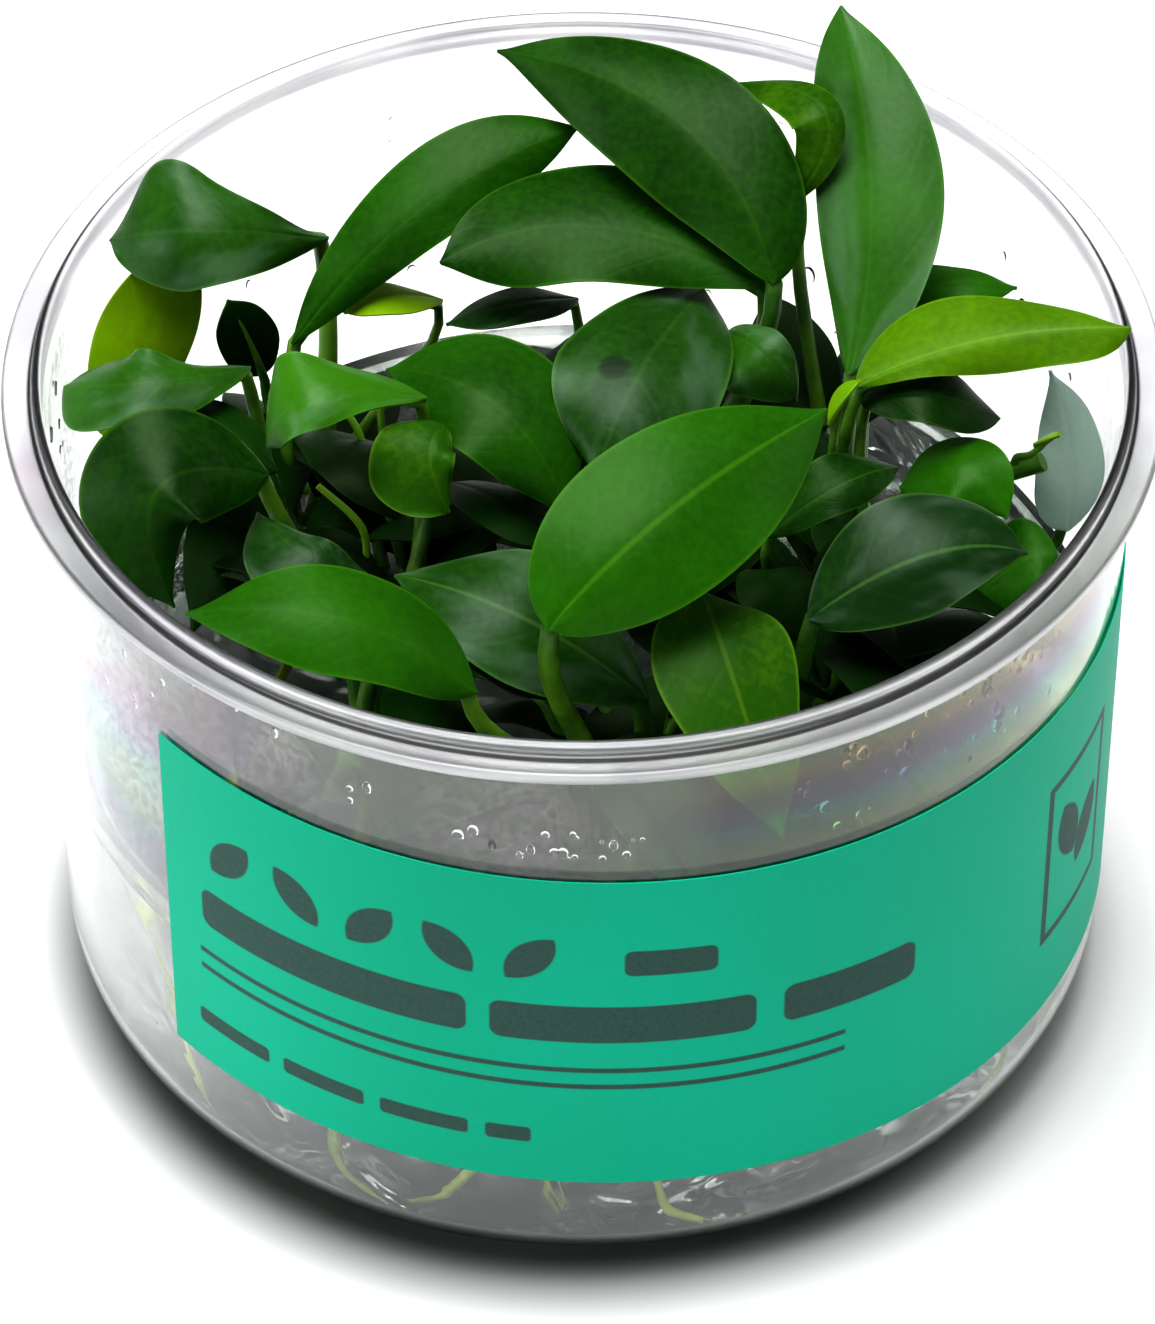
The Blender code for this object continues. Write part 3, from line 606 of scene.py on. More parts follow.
def leaf_finish(name, dark, light, rib, roughness, shine, gloss=GREEN_GLOSS, painted_sheen=0.0):
    """Satin blade: toned leaf by leaf, mottled, with a paler midrib, faint side veins and, on silky leaves,
    silvery bands of painted sheen.
    """
    finish = Finish(name)
    dark, light, rib = rgb(*dark), rgb(*light), rgb(*rib)
    tone = finish.node("ShaderNodeAttribute", attribute_name="tone").outputs["Fac"]
    ribbed = finish.node("ShaderNodeAttribute", attribute_name="ribbed").outputs["Fac"]
    place = finish.split(finish.node("ShaderNodeUVMap", uv_map="UVMap").outputs["UV"])
    veins = finish.group(LEAF_VEINS, Across=place[0], Along=place[1]).outputs
    mottle = finish.noise(110.0, 3.0)
    fine = finish.noise(1400.0, 2.0)
    share = finish.maths("ADD", tone, finish.ramp(mottle, 0.3, 0.7, -0.1, 0.1))
    share = finish.maths("ADD", share, finish.ramp(fine, 0.3, 0.7, -0.06, 0.06))
    colour = finish.blend(finish.maths("MINIMUM", finish.maths("MAXIMUM", share, 0.0), 1.0), dark, light)
    if painted_sheen:
        # painted sheen: pale silvery bands along the side veins stand in for soft highlights
        swept = finish.combine(finish.product(place[0], 2.4), finish.product(veins["Swept"], 0.3), tone)
        sheen_band = finish.ramp(finish.noise(1.0, 2.0, swept), 0.46, 0.7)
        sheen_band = finish.product(sheen_band, finish.ramp(veins["From midrib"], 0.05, 0.3), painted_sheen)
        colour = finish.blend(sheen_band, colour, rgb(150, 176, 160))
    colour = finish.blend(finish.product(veins["Side veins"], VEIN_SHARE), colour, rib)
    colour = finish.blend(finish.product(veins["Midrib"], ribbed), colour, rib)
    edge = finish.product(finish.ramp(veins["From midrib"], 0.93, 1.0), MARGIN_SHEEN)
    colour = finish.blend(edge, colour, rib)
    if painted_sheen:  # the leaf with the spot is one of these
        spot = finish.fade(finish.away_from(DARK_SPOT), SPOT_RADII, SPOT_SHARE, 0.0)
        colour = finish.blend(spot, colour, rgb(6, 26, 6))
    finish.drive("Base Color", colour)
    finish.drive("Roughness", finish.ramp(mottle, 0.2, 0.8, roughness - 0.05, roughness + 0.08))
    height = finish.maths("ADD", finish.product(veins["Side veins"], -0.12), finish.product(fine, 0.35))
    finish.bump(finish.maths("ADD", height, finish.product(mottle, 1.6)), 0.3, 0.16)
    finish.set(IOR=WAX_IOR, Specular_IOR_Level=shine, Specular_Tint=gloss)
    return finish.made


def stem_finish(name, dark, light):
    finish = Finish(name)
    colour = finish.blend(finish.ramp(finish.noise(180.0, 3.0), 0.35, 0.7), dark, light)
    finish.drive("Base Color", colour)
    finish.bump(finish.noise(900.0, 2.0), 0.3, 0.1)
    finish.set(Roughness=0.42, IOR=WAX_IOR)
    return finish.made


def root_finish():
    finish = Finish("root")
    share = finish.ramp(finish.noise(140.0, 2.0), 0.35, 0.7)
    colour = finish.blend(share, rgb(128, 148, 20), rgb(200, 212, 84))
    finish.drive("Base Color", colour)
    finish.bump(finish.noise(1500.0, 2.0), 0.3, 0.08)
    finish.set(Roughness=0.45, IOR=1.4)
    return finish.made


def clear_plastic_finish():
    """Clear moulded plastic, with rainbow tints from the stress beside the label's upper corners."""
    finish = Finish("clear plastic")
    x, y, height = finish.split(finish.object_place())
    rim = finish.fade(height, RIM_FADE)
    drawn_out = finish.combine(finish.product(x, 0.3), finish.product(y, 0.3), height)
    streaks = finish.noise(260.0, 2.0, drawn_out)
    streaks = finish.ramp(streaks, 0.35, 0.65, 0.35, 1.0)
    clear = finish.blend(finish.product(rim, streaks), CLEAR, rgb(206, 204, 210))
    wall = finish.group(WALL_PLACE).outputs
    warp = finish.maths("MULTIPLY_ADD", finish.noise(30.0, 2.0), 5.0, -2.5)
    over = finish.maths("ADD", wall["Over label"], warp)
    bands = finish.stops(
        finish.ramp(over, -2.0, 16.0), (0.0, rgb(216, 226, 150)), (0.14, rgb(150, 206, 150)),
        (0.28, rgb(120, 196, 196)), (0.42, rgb(140, 120, 170)), (0.58, rgb(150, 126, 146)),
        (0.72, rgb(222, 190, 120)), (0.86, rgb(196, 214, 166)), (1.0, CLEAR),
    )
    right = finish.product(
        finish.within(wall["Degrees"], 18, 80, 14), finish.within(over, -1.0, 14.0, 3.0), 0.85,
    )
    colour = finish.blend(right, clear, bands)
    swirl = finish.stops(
        finish.noise(42.0, 1.5, distortion=0.8), (0.36, CLEAR), (0.42, rgb(250, 226, 180)),
        (0.47, rgb(214, 244, 190)), (0.53, rgb(170, 236, 230)), (0.58, rgb(200, 184, 240)),
        (0.64, rgb(248, 196, 220)), (0.7, CLEAR),
    )
    left = finish.product(
        finish.within(wall["Degrees"], -72, -40, 14), finish.within(over, -16.0, 8.0, 6.0), 0.45,
    )
    finish.drive("Base Color", finish.blend(left, colour, swirl))
    fogged = finish.product(
        finish.within(wall["Degrees"], -100, 88, 12), finish.within(wall["Over label"], -3.0, 10.5, 2.0),
    )
    worn = finish.ramp(rim, 0.0, 1.0, 0.02, RIM_ROUGHNESS)
    finish.drive("Roughness", finish.maths("MULTIPLY_ADD", fogged, 0.05, worn))
    finish.set(IOR=1.5, Transmission_Weight=1.0, Metallic=0.0)
    finish.let_light_through((0.78, 0.8, 0.8, 1.0))
    return finish.made


def mist_finish():
    """Condensation inside the wall, in grains and patches, thinner where a leaf lies against it, with
    brownish patches of painted shade from the middle to the right.
    """
    finish = Finish("condensation")
    wall = finish.group(WALL_PLACE).outputs
    patches = finish.noise(75.0, 3.0)
    grains = finish.ramp(finish.noise(1300.0, 2.0), 0.4, 0.62, 0.3, 1.0)
    left, middle, right = MIST_AMOUNTS
    amount = finish.ramp(wall["Degrees"], -60.0, -25.0, left, middle)
    amount = finish.maths("MINIMUM", amount, finish.ramp(wall["Degrees"], 0.0, 26.0, middle, right))
    wiped = finish.ramp(finish.within(wall["Degrees"], 8.0, 26.0, 6.0), 0.0, 1.0, 1.0, 0.35)
    front = finish.within(wall["Degrees"], -95, 90, 15)
    patchy = finish.ramp(patches, 0.35, 0.62, 0.2, 1.0)
    finish.drive("Alpha", finish.product(patchy, grains, amount, wiped, front))
    # painted shade: olive and mauve brown patches stand in for the dark seen through the wall
    painted_shade_brown = finish.blend(finish.ramp(patches, 0.4, 0.6), rgb(104, 108, 84), rgb(132, 120, 122))
    tint = finish.blend(finish.ramp(wall["Degrees"], -60.0, -20.0), rgb(200, 206, 208), painted_shade_brown)
    finish.drive("Base Color", tint)
    finish.set(Roughness=0.6, IOR=1.2)
    return finish.made


def gel_finish():
    """Wet nutrient gel, slightly cloudy, its side uneven where it came away from the wall, and its top
    darkened under the plants by painted shade.
    """
    finish = Finish("clear gel")
    x, y, z = finish.split(finish.object_place())
    slanted = finish.combine(x, y, finish.maths("MULTIPLY_ADD", x, 0.7, z))
    cloud = finish.ramp(finish.noise(110.0, 3.0, slanted, 0.8), 0.38, 0.6)
    colour = finish.blend(cloud, rgb(150, 156, 150), rgb(224, 228, 224))
    away = finish.length(x, finish.maths("ADD", y, PLANTS_FORWARD * MM))
    # painted shade: the gel's top is darkened under the plants, where the leaves shade it
    painted_gel_shade = finish.product(finish.fade(away, GEL_SHADE_REACH, 0.85, 0.0), finish.fade(z, GEL_SKIN))
    finish.drive("Base Color", finish.blend(painted_gel_shade, colour, rgb(34, 44, 24)))
    finish.set(IOR=1.34, Transmission_Weight=1.0, Metallic=0.0)
    finish.drive("Roughness", finish.ramp(cloud, 0.0, 1.0, 0.16, 0.05))
    uneven = finish.fade(z, GEL_UNEVEN, 1.0, 0.0)
    finish.bump(finish.product(finish.noise(85.0, 2.0, slanted, 1.2), uneven), 0.7, 2.0)
    absorption = finish.node("ShaderNodeVolumeAbsorption")
    absorption.inputs["Color"].default_value = (0.6, 0.66, 0.61, 1.0)
    absorption.inputs["Density"].default_value = 10.5
    finish.link(absorption.outputs[0], finish.tree.nodes["Material Output"].inputs["Volume"])
    finish.let_light_through((0.55, 0.58, 0.55, 1.0))
    return finish.made


def water_finish(name, ior):
    """Water on the wall, or with a low index a bubble of air in the gel."""
    finish = Finish(name)
    finish.drive("Roughness", finish.ramp(finish.noise(400.0), 0.4, 0.8, 0.0, 0.02))
    finish.set(Base_Color=(1, 1, 1, 1), IOR=ior, Transmission_Weight=1.0, Metallic=0.0)
    finish.let_light_through((0.95, 0.95, 0.95, 1.0))
    return finish.made


def printed_bar_group():
    """A printed bar with round corners: 1 inside it, from a place on the label in mm."""
    group, given, out = group_tree(
        "printed bar",
        {"Right": 0.0, "Up": 0.0, "Middle": 0.0, "Height": 0.0, "Half length": 5.0, "Half height": 1.0,
         "Round": 0.3},
        ("Mask",),
    )
    off = []
    for place, middle, half in (("Right", "Middle", "Half length"), ("Up", "Height", "Half height")):
        away = group.maths("ABSOLUTE", group.maths("SUBTRACT", given[place], given[middle]))
        away = group.maths("SUBTRACT", away, group.maths("SUBTRACT", given[half], given["Round"]))
        off.append(group.maths("MAXIMUM", away, 0.0))
    rim = group.maths("SUBTRACT", group.length(*off), given["Round"])
    group.link(group.ramp(rim, -PRINT_BLUR, PRINT_BLUR, 1.0, 0.0), out["Mask"])
    return group.tree


def printed_leaf_group():
    """A plain pointed leaf shape, where two circles overlap, tilted about its middle."""
    group, given, out = group_tree(
        "printed leaf",
        {"Right": 0.0, "Up": 0.0, "Middle": 0.0, "Height": 0.0, "Tilt": 0.0, "Length": 5.0},
        ("Mask",),
    )
    right = group.maths("SUBTRACT", given["Right"], given["Middle"])
    up = group.maths("SUBTRACT", given["Up"], given["Height"])
    cosine, sine = group.maths("COSINE", given["Tilt"]), group.maths("SINE", given["Tilt"])
    along = group.maths("ADD", group.product(right, cosine), group.product(up, sine))
    beside = group.maths("SUBTRACT", group.product(up, cosine), group.product(right, sine))
    beside = group.maths("ADD", group.maths("ABSOLUTE", beside), group.product(given["Length"], 0.35))
    rim = group.maths("SUBTRACT", group.length(along, beside), group.product(given["Length"], 0.61))
    group.link(group.ramp(rim, -PRINT_BLUR, PRINT_BLUR, 1.0, 0.0), out["Mask"])
    return group.tree


PRINTED_BAR = printed_bar_group()
PRINTED_LEAF = printed_leaf_group()


def label_finish():
    """Green printed film with plain dark bars, rules and leaf shapes."""
    finish = Finish("green label film")
    right, up, _ = finish.split(finish.node("ShaderNodeUVMap", uv_map="UVMap").outputs["UV"])
    right, up = finish.product(right, LABEL_LENGTH), finish.product(up, LABEL_HEIGHT)
    speck = finish.noise(2500.0, 2.0)
    broad = finish.noise(22.0, 1.0)
    colour = finish.blend(finish.ramp(broad, 0.3, 0.7), rgb(0, 158, 124), rgb(0, 170, 138))
    colour = finish.blend(finish.ramp(speck, 0.45, 0.8, 0.0, 0.12), colour, rgb(0, 130, 100))
    print_mask = 0.0
    for middle, height, half_length, half_height in PRINTED_BARS:
        bar = finish.group(
            PRINTED_BAR, Right=right, Up=up, Middle=middle, Height=height, Half_length=half_length,
            Half_height=half_height, Round=min(half_height, half_length) * 0.5,
        ).outputs[0]
        print_mask = finish.maths("MAXIMUM", bar, print_mask)
    for middle, height, length, tilt in PRINTED_LEAVES:
        shape = finish.group(
            PRINTED_LEAF, Right=right, Up=up, Middle=middle, Height=height, Length=length,
            Tilt=math.radians(tilt),
        ).outputs[0]
        print_mask = finish.maths("MAXIMUM", shape, print_mask)
    ink = finish.blend(speck, rgb(34, 44, 44), rgb(66, 72, 72))
    colour = finish.blend(finish.product(print_mask, 0.9), colour, ink)
    finish.drive("Base Color", colour)
    finish.drive("Roughness", finish.ramp(broad, 0.2, 0.8, 0.46, 0.54))
    finish.bump(speck, 0.1, 0.03)
    finish.set(IOR=1.35, Specular_IOR_Level=0.15)
    return finish.made


def floor_finish():
    """White, with the dark contact shadow that gathers round the cup's foot."""
    finish = Finish("pale floor")
    white = finish.blend(finish.noise(6.0, 2.0), rgb(250, 250, 250), rgb(253, 253, 253))
    x, y, _ = finish.split(finish.object_place())
    x, y = (finish.maths("SUBTRACT", place, shift * MM) for place, shift in zip((x, y), SHADOW_SHIFT))
    away = finish.length(x, y)
    shade = finish.product(
        finish.fade(away, SHADOW_EDGE, 0.97, 0.0), finish.fade(away, SHADOW_CORE, 0.35, 1.0),
    )
    finish.drive("Base Color", finish.blend(shade, white, rgb(30, 36, 30)))
    finish.set(Roughness=0.7, Specular_IOR_Level=0.2)
    return finish.made


# Cup, gel and label

def make_cup(finish):
    flat = WALL_FOOT_RADIUS - CORNER_RADIUS
    corner = (flat, CORNER_RADIUS)
    out = FLANGE_RADIUS - EDGE_RADIUS
    fillet = WALL_TOP_RADIUS + EDGE_RADIUS
    lip = WALL / 2
    rings = [(flat - 1.0, 0)]
    rings += bend(corner, CORNER_RADIUS, -90, 0, CORNER_STEPS)
    rings += [(WALL_TOP_RADIUS, FLANGE_UNDERSIDE - EDGE_RADIUS)]
    rings += bend((fillet, FLANGE_UNDERSIDE - EDGE_RADIUS), EDGE_RADIUS, 180, 90, FILLET_STEPS)[1:]
    rings += bend((out, FLANGE_UNDERSIDE + EDGE_RADIUS), EDGE_RADIUS, -90, 0, EDGE_STEPS)
    rings += bend((out, FLANGE_TOP - EDGE_RADIUS), EDGE_RADIUS, 0, 90, EDGE_STEPS)
    rings += [(fillet, FLANGE_TOP)]
    rings += bend((fillet, FLANGE_TOP + EDGE_RADIUS), EDGE_RADIUS, 270, 180, FILLET_STEPS)[1:]
    rings += bend((WALL_TOP_RADIUS - lip, LIP_TOP - lip), lip, 0, 180, LIP_STEPS)
    rings += bend(corner, CORNER_RADIUS - WALL, 0, -90, CORNER_STEPS)
    rings += [(flat - 1.0, FLOOR)]
    cup = turned("cup_clear", rings)
    complete(cup, finish, 40, "clear_plastic", "cup")


def make_gel(finish):
    flat = WALL_FOOT_RADIUS - CORNER_RADIUS
    side = WALL_FOOT_RADIUS - WALL - GEL_GAP
    rings = [(flat - 1.0, FLOOR + GEL_GAP)]
    rings += bend((flat, CORNER_RADIUS), CORNER_RADIUS - WALL - GEL_GAP, -90, 0, CORNER_STEPS)
    top = GEL_TOP + MENISCUS_RISE
    rings += [(side + (wall_radius(top) - WALL_FOOT_RADIUS), top)]
    for share in (0.15, 0.35, 0.6, 1.0):
        fall = MENISCUS_RISE * (1 - share) ** 2
        rings.append((side - MENISCUS_WIDTH * share, GEL_TOP + fall))
    rings += [(radius, GEL_TOP) for radius in (40, 36, 31, 26, 21, 16, 11, 6, 2)]
    gel = turned("gel_clear", rings)
    for vertex in gel.data.vertices:
        x, y = vertex.co.x / MM, vertex.co.y / MM
        if vertex.co.z > (GEL_TOP - 0.1) * MM and math.hypot(x, y) < side - MENISCUS_WIDTH:
            wave = math.sin(x / 4.1 + 1.0) * math.cos(y / 5.3) + 0.6 * math.sin(x / 2.3 - y / 3.1)
            vertex.co.z += 0.22 * wave * MM
    complete(gel, finish, 40, "gel", "gel")


def make_mist(finish):
    """A film as thin as the condensation, closed over its own top and bottom."""
    low, high = GEL_TOP + 1.5, MIST_TOP
    outer = [(wall_radius(height) - WALL - MIST_OFF_WALL, height) for height in (low, high)]
    deselect_all()
    bpy.ops.mesh.primitive_cylinder_add(vertices=CUP_SEGMENTS, radius=1, depth=2, end_fill_type="NOTHING")
    mist = bpy.context.object
    mist.name = "wall_mist"
    for vertex in mist.data.vertices:
        radius, height = outer[1] if vertex.co.z > 0 else outer[0]
        vertex.co = Vector((vertex.co.x * radius, vertex.co.y * radius, height)) * MM
    apply_modifier(mist, "SOLIDIFY", thickness=MIST_THICKNESS * MM, offset=-1.0)
    face_outwards(mist)
    complete(mist, finish, 40, "clear_plastic")


def make_beads(name, finish, slot, centres, flat):
    """Small round beads on a curved wall: each is its place, its facing, its radius and its stretch."""
    made = []
    for place, facing, radius, stretch in centres:
        deselect_all()
        bpy.ops.mesh.primitive_uv_sphere_add(segments=16, ring_count=10, radius=1)
        bead = bpy.context.object
        side, up = frame_of(facing, UP)
        for vertex in bead.data.vertices:
            x, y, z = vertex.co * radius
            vertex.co = (place + side * x + up * y * stretch + facing * z * flat) * MM
        made.append(bead)
    beads = join(made, name)
    face_outwards(beads)
    complete(beads, finish, 60, slot)


def on_inner_wall(degrees, height, off):
    return on_wall(degrees, height, -WALL - off)


def make_droplets(finish):
    """Water drops on the inside of the wall, most of them at the right of the front."""
    draw = random.Random(5)
    centres = []
    for low, high, bottom, top, count in DROPLET_ZONES:
        for _ in range(count):
            degrees, height = draw.uniform(low, high), draw.uniform(bottom, top)
            radius = draw.uniform(0.2, 0.7) * draw.uniform(0.5, 1.0)
            place = on_inner_wall(degrees, height, 0.05)
            facing = Vector((-place.x, -place.y, 0)).normalized()
            centres.append((place, facing, radius, draw.uniform(1.0, 1.8)))
    make_beads("wall_droplets", finish, "clear_plastic", centres, 0.5)


def make_bubbles(finish):
    """Flat bubbles of air caught between the gel and the wall."""
    draw = random.Random(9)
    centres = []
    for degrees, height, spread, count in BUBBLE_PLACES:
        for _ in range(count):
            turn, rise = draw.uniform(-spread, spread), draw.uniform(-1, 1)
            place = on_inner_wall(degrees + turn, height + rise, 0.4)
            if place.z < CORNER_RADIUS:
                lean = math.sqrt(1 - ((CORNER_RADIUS - place.z) / (CORNER_RADIUS - WALL)) ** 2)
                inner = WALL_FOOT_RADIUS - CORNER_RADIUS + (CORNER_RADIUS - WALL) * lean - 0.4
                place = Vector((place.x, place.y, 0)).normalized() * inner + UP * place.z
            facing = Vector((-place.x, -place.y, 0)).normalized()
            centres.append((place, facing, draw.uniform(0.25, 0.75), draw.uniform(0.7, 1.0)))
    make_beads("gel_bubbles", finish, "gel", centres, 0.4)


def make_label(finish):
    deselect_all()
    bpy.ops.mesh.primitive_grid_add(x_subdivisions=LABEL_COLUMNS, y_subdivisions=LABEL_ROWS, size=2)
    label = bpy.context.object
    label.name = "label_film"
    for vertex in label.data.vertices:
        degrees = LABEL_START + (LABEL_END - LABEL_START) * (vertex.co.x + 1) / 2
        height = LABEL_BOTTOM + LABEL_SLOPE * WALL_TOP_RADIUS * math.radians(degrees)
        height += LABEL_HEIGHT * (vertex.co.y + 1) / 2
        vertex.co = on_wall(degrees, height, LABEL_OFF_WALL) * MM
    apply_modifier(label, "SOLIDIFY", thickness=LABEL_THICKNESS * MM, offset=1.0)
    face_outwards(label)
    complete(label, finish, 40, "label_film", "label")


# Leaves

def midrib(base, middle, tip, share):
    """Point and direction on the curve that passes through the three points of a midrib."""
    pull = 2 * middle - (base + tip) / 2
    rest = 1 - share
    point = rest * rest * base + 2 * rest * share * pull + share * share * tip
    heading = rest * (pull - base) + share * (tip - pull)
    return point, heading.normalized()


def blade_half_width(width, peak, power, share):
    a = power * peak
    b = power * (1 - peak)
    most = peak ** a * (1 - peak) ** b
    inner = min(max(share, 1e-4), 1 - 1e-4)
    rounding = (1 - inner ** TIP_ROUNDING) ** 0.5
    return max(width / 2 * inner ** a * (1 - inner) ** b / most * rounding, MARGIN_HALF)


def across(value, fold):
    """Place across a folded half blade of width 1, sideways and up: part crease and part arc."""
    if abs(fold) < 1e-3:
        return value, 0.0
    away = abs(value)
    curved = math.sin(abs(fold) * away) / abs(fold), (1 - math.cos(fold * away)) / fold
    creased = away * math.sin(abs(fold)) / abs(fold), away * (1 - math.cos(fold)) / fold
    sideways, rise = (a + (b - a) * CREASE_SHARE for a, b in zip(curved, creased))
    return math.copysign(sideways, value), rise


def frame_of(heading, up):
    side = heading.cross(up).normalized()
    return side, side.cross(heading).normalized()


def upright_of(base, tip, roll):
    chord = (tip - base).normalized()
    upright = (UP - chord * UP.dot(chord)).normalized()
    return Matrix.Rotation(math.radians(roll), 3, chord) @ upright


def make_blade(spec, phase, grid, halves, twist):
    """The blade as a grid laid along the midrib, bent, waved and given its thickness."""
    base, middle, tip = (Vector(place) for place in spec[:3])
    width, roll, fold = spec[3:6]
    wave = spec[8]
    deselect_all()
    bpy.ops.mesh.primitive_grid_add(x_subdivisions=grid[0], y_subdivisions=grid[1], size=2)
    blade = bpy.context.object
    thick = blade.vertex_groups.new(name="thickness")
    for vertex in blade.data.vertices:
        value, step = vertex.co.x, (vertex.co.y + 1) / 2
        share = (1 - CROWDING) * step + CROWDING * (1 - math.cos(math.pi * step)) / 2
        point, heading = midrib(base, middle, tip, share)
        side, up = frame_of(heading, upright_of(base, tip, roll + twist * (share - 0.5)))
        size, widest, power = halves[1] if value > 0 else halves[0]
        half = blade_half_width(width * size, widest, power, share)
        sideways, rise = across(value, fold)
        lift = half * rise
        lift -= GROOVE_DEPTH * math.exp(-(value / GROOVE_WIDTH) ** 2) * (1 - share)
        swing = math.sin(2 * math.pi * WAVES_ALONG * share + phase + (1.9 if value > 0 else 0))
        lift += wave * abs(value) ** 2.5 * swing * min(1.0, half / 2)
        vertex.co = (point + side * half * sideways + up * lift) * MM
        thick.add([vertex.index], 1 - abs(value) ** 1.5, "REPLACE")
    apply_modifier(blade, "SUBSURF", levels=1, render_levels=1)
    apply_modifier(
        blade, "SOLIDIFY", thickness=BLADE_THICKNESS * MM, offset=0.0,
        vertex_group="thickness", thickness_vertex_group=MARGIN_SHARE,
    )
    return blade


def rod(places, radii, depth, resolution=10):
    """A round rod along a Bezier curve: each place is its point and its two handles."""
    deselect_all()
    bpy.ops.curve.primitive_bezier_curve_add()
    line = bpy.context.object
    spline = line.data.splines[0]
    spline.bezier_points.add(len(places) - 2)
    for point, (before, here, after), radius in zip(spline.bezier_points, places, radii):
        point.handle_left_type = "FREE"
        point.handle_right_type = "FREE"
        point.co = here * MM
        point.handle_left = before * MM
        point.handle_right = after * MM
        point.radius = radius
    line.data.bevel_depth = depth * MM
    line.data.bevel_resolution = 3
    line.data.resolution_u = resolution
    line.data.use_fill_caps = True
    bpy.ops.object.convert(target="MESH")
    return bpy.context.object


def make_stalk(spec, foot):
    """The stalk from the rhizome to the blade, running on under the blade as its rib."""
    base, middle, tip = (Vector(place) for place in spec[:3])
    width, roll = spec[3:5]
    radius = STALK_RADIUS + STALK_GROWTH * width
    start = midrib(base, middle, tip, 0.0)[1]
    upright = upright_of(base, tip, roll)
    length = (base - foot).length
    pull = 2 * middle - (base + tip) / 2
    places = [(foot - UP, foot, foot + UP * STALK_RISE * length)]
    last = 0.0
    for index, (share, size) in enumerate(RIB_STATIONS):
        point, heading = midrib(base, middle, tip, share)
        under = GROOVE_DEPTH * (1 - share) + radius * size - RIB_SUNK
        here = point - frame_of(heading, upright)[1] * under
        slope = ((1 - share) * (pull - base) + share * (tip - pull)) * 2 / 3
        following = RIB_STATIONS[min(index + 1, len(RIB_STATIONS) - 1)][0]
        before = slope * (share - last) if index else start * STALK_LEAD + UP * STALK_DROP * length
        places.append((here - before, here, here + slope * (following - share)))
        last = share
    return rod(places, (1.15, *(size for _, size in RIB_STATIONS)), radius)


def make_leaf(
    name, spec, foot, finishes, phase, ribbed=FAINT_RIB, grid=BLADE_GRID, halves=EVEN_BLADE, twist=0.0,
):
    blade = make_blade(spec, phase, grid, halves, twist)
    blade.data.materials.append(finishes[spec[6]])
    stalk = make_stalk(spec, foot)
    stalk.data.materials.append(finishes["stem"])
    leaf = join([blade, stalk], name)
    smooth(leaf, 55)
    for attribute, value in (("tone", spec[7]), ("ribbed", ribbed)):
        layer = leaf.data.attributes.new(attribute, "FLOAT", "POINT")
        layer.data.foreach_set("value", [value] * len(leaf.data.vertices))
    return leaf


def feet_of(centre, heading, numbers):
    """Where each stalk starts: in a row on the rhizome, in the order in which the leaves lie."""
    turn = math.radians(heading)
    along = Vector((math.cos(turn), math.sin(turn), 0))
    beside = Vector((-along.y, along.x, 0))
    middle = Vector((*centre, 0))
    order = sorted(numbers, key=lambda number: (Vector(LEAVES[number][0]) - middle).dot(along))
    feet = {}
    for place, number in enumerate(order):
        reach = (place - (len(order) - 1) / 2) * FOOT_PITCH
        lean = math.copysign(FOOT_SIDE, (Vector(LEAVES[number][0]) - middle).dot(beside))
        foot = middle + along * reach + beside * lean
        foot.z = FOOT_Z
        feet[number] = foot
    return feet


def make_leaves(finishes):
    for centre, heading, numbers in PLANTLETS.values():
        for number, foot in feet_of(centre, heading, numbers).items():
            leaf = make_leaf(
                f"leaf_{number:02d}_fine", LEAVES[number], foot, finishes, number * PHASE_STEP,
                CLEAR_RIBS.get(number, FAINT_RIB), halves=OUTLINES.get(number, EVEN_BLADE),
            )
            slot = "young_leaf" if number in YOUNG_LEAVES else "leaf"
            hand_over(leaf, slot, f"leaf_{number:02d}")
    shoot = make_leaf("shoot_fine", SHOOT, Vector(SHOOT_FOOT), finishes, 0.4)
    hand_over(shoot, "young_leaf", "shoot")


def make_lower_leaves(finishes):
    """Small shaded leaves that crowd round each rhizome under the larger ones."""
    for name, (centre, heading, numbers) in PLANTLETS.items():
        draw = random.Random(name)
        along = Vector((math.cos(math.radians(heading)), math.sin(math.radians(heading)), 0))
        made = []
        for count in range(LOWER_LEAVES):
            reach = draw.uniform(-0.5, 0.5) * len(numbers) * FOOT_PITCH
            foot = Vector((*centre, FOOT_Z)) + along * reach
            turn = count * GOLDEN_ANGLE + draw.uniform(-0.3, 0.3)
            out = Vector((math.cos(turn), math.sin(turn), 0))
            length = draw.uniform(*LOWER_LENGTH)
            base = foot + out * draw.uniform(1, 6) + UP * draw.uniform(3, 14)
            middle = base + out * length * 0.45 + UP * draw.uniform(2, 5)
            tip = base + out * length + UP * draw.uniform(-3, 3)
            tilt, fold, tone, twist = (draw.uniform(*limits) for limits in LOWER_VARIETY)
            if tip.x > CLEAR_BACK[0] and tip.y > CLEAR_BACK[1]:
                continue
            beyond = max(math.hypot(tip.x, tip.y) - LOWER_REACH, 0.0)
            inward = Vector((tip.x, tip.y, 0)).normalized() * -beyond
            spec = (
                base + inward * 0.3, middle + inward * 0.6, tip + inward, length * 0.5,
                tilt, fold, "shaded", tone, 0.3,
            )
            made.append(make_leaf(
                "lower", spec, foot, finishes, turn, grid=LOWER_BLADE_GRID, halves=LOWER_BLADE, twist=twist,
            ))
        hand_over(join(made, name.replace("rhizome", "lower_leaves")), "leaf")


# Rhizomes, cut stem and roots

